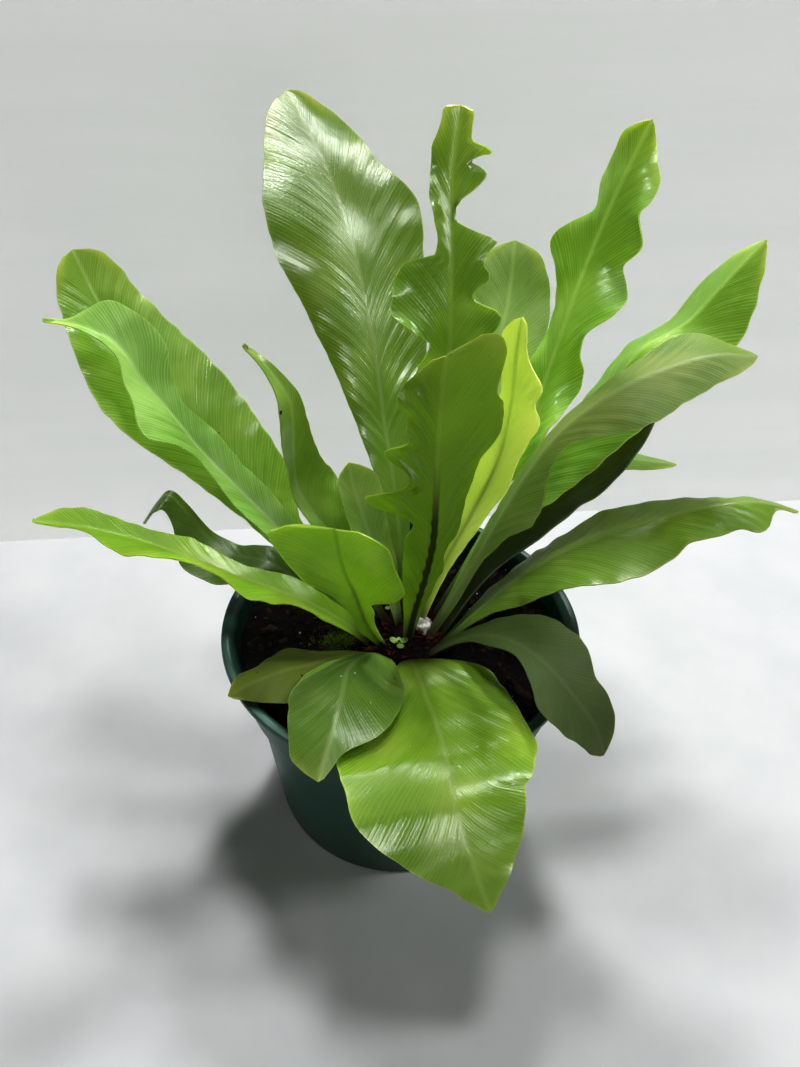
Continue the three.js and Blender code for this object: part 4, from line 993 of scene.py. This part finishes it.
def build_seedling():
    foot = Vector(SEEDLING_FOOT)
    middle = foot + Vector((0, 0, SEEDLING_HEIGHT / 2))
    bpy.ops.mesh.primitive_cylinder_add(vertices=16, radius=.5 * MM, depth=SEEDLING_HEIGHT * MM,
                                        location=middle * MM)
    stem = active("seedling_stem")
    stem.data.transform(stem.matrix_world)
    stem.matrix_world = Matrix.Identity(4)
    parts = [stem]
    for direction, length in SEEDLING_LEAVES:
        leaf = seedling_leaf("seedling_leaf")
        turn = Euler((0, -.3, radians(direction)))
        top = foot + Vector((0, 0, SEEDLING_HEIGHT - .4))
        leaf.data.transform(turned_matrix(top, (length,) * 3, turn))
        parts.append(leaf)
    bpy.ops.object.select_all(action="DESELECT")
    for part in parts:
        part.select_set(True)
    bpy.context.view_layer.objects.active = stem
    bpy.ops.object.join()
    finish_piece(active("seedling_plant"), "seedling", "seedling")


build_seedling()

# Sprouts behind the crown
sprouts = [((-2.5 + rng.normal(0, 3.5), 14 + rng.normal(0, 3), 104.5 + rng.uniform(0, 3)),
            rng.uniform(.7, 1.5)) for _ in range(SPROUTS)]
merged("sprouts", [seedling_leaf("sprout_a")],
       [(0, turned_matrix(place, (size,) * 3, any_turn(.7)), size) for place, size in sprouts],
       "seedling")

# Floor, wall, light and camera
bpy.ops.mesh.primitive_plane_add(size=8, location=(0, 0, -.0002))
floor = active("floor")
floor.data.materials.append(MATERIALS["floor"])
bpy.ops.mesh.primitive_plane_add(size=1, location=(0, .213, .2),
                                 rotation=(radians(90), 0, radians(7.3)))
wall = active("wall")
wall.scale = (6, .4, 1)
wall.data.materials.append(MATERIALS["wall"])
wall.visible_shadow = False  # the lamps behind it light the plant
wall.visible_diffuse = False


def soft_light(name, place, power, size, height=None):
    """A lamp that looks at the plant's middle, square unless it has a height of its own"""
    bpy.ops.object.light_add(type="AREA", location=place)
    lamp = bpy.context.active_object
    lamp.name = name
    lamp.data.energy = power
    lamp.data.shape = "RECTANGLE"
    lamp.data.size = size
    lamp.data.size_y = height or size
    lamp.visible_camera = False
    lamp.rotation_euler = (Vector(place) - Vector((0, .03, .18))).to_track_quat("Z", "Y").to_euler()
    return lamp


soft_light("behind", (.19, 1.25, 1.7), 21, .22)
soft_light("behind_left", (-.18, .7, 1.7), 10, .25)
soft_light("overhead", (.15, .22, 1.7), 9, .25)
soft_light("right", (1.4, 0, 1.5), 9, .25)
soft_light("camera_side", (0, -1.6, 1.1), 2.5, 1.2)
for card in (soft_light("gloss_card_right", (1.04, -.385, 1.77), 28, .34),
             soft_light("gloss_card_left", (-.55, -1.19, 1.46), 12, .35),
             soft_light("gloss_card_front", (.7, -1.77, .42), 46, .5, 1.1),
             soft_light("gloss_card_ceiling", (0, -.5, 2.4), 55, 3)):
    card.visible_diffuse = False
    card.visible_transmission = False
scene = bpy.context.scene
scene.world = bpy.data.worlds.new("room")
scene.world.use_nodes = True
background = scene.world.node_tree.nodes["Background"].inputs
background["Color"].default_value = (1, 1, .97, 1)
background["Strength"].default_value = .07
scene.view_settings.view_transform = "Standard"
scene.view_settings.gamma = .8

# The camera stands before the plant, above it, and looks down
CAMERA_PLACE = (0, -.2584, .364)
PITCH, YAW, ROLL = radians(38.6), radians(-.3), radians(1.3)
forward = Vector((sin(YAW) * cos(PITCH), cos(YAW) * cos(PITCH),
                  -sin(PITCH)))
level = Vector((cos(YAW), -sin(YAW), 0))
upward = level.cross(forward)
side = cos(ROLL) * level + sin(ROLL) * upward
top = -sin(ROLL) * level + cos(ROLL) * upward
bpy.ops.object.camera_add()
camera = bpy.context.active_object
turn = Matrix((side, top, -forward)).transposed().to_4x4()
camera.matrix_world = Matrix.Translation(CAMERA_PLACE) @ turn
camera.data.sensor_fit = "VERTICAL"
camera.data.sensor_height = 36
camera.data.lens = 27.02
scene.camera = camera
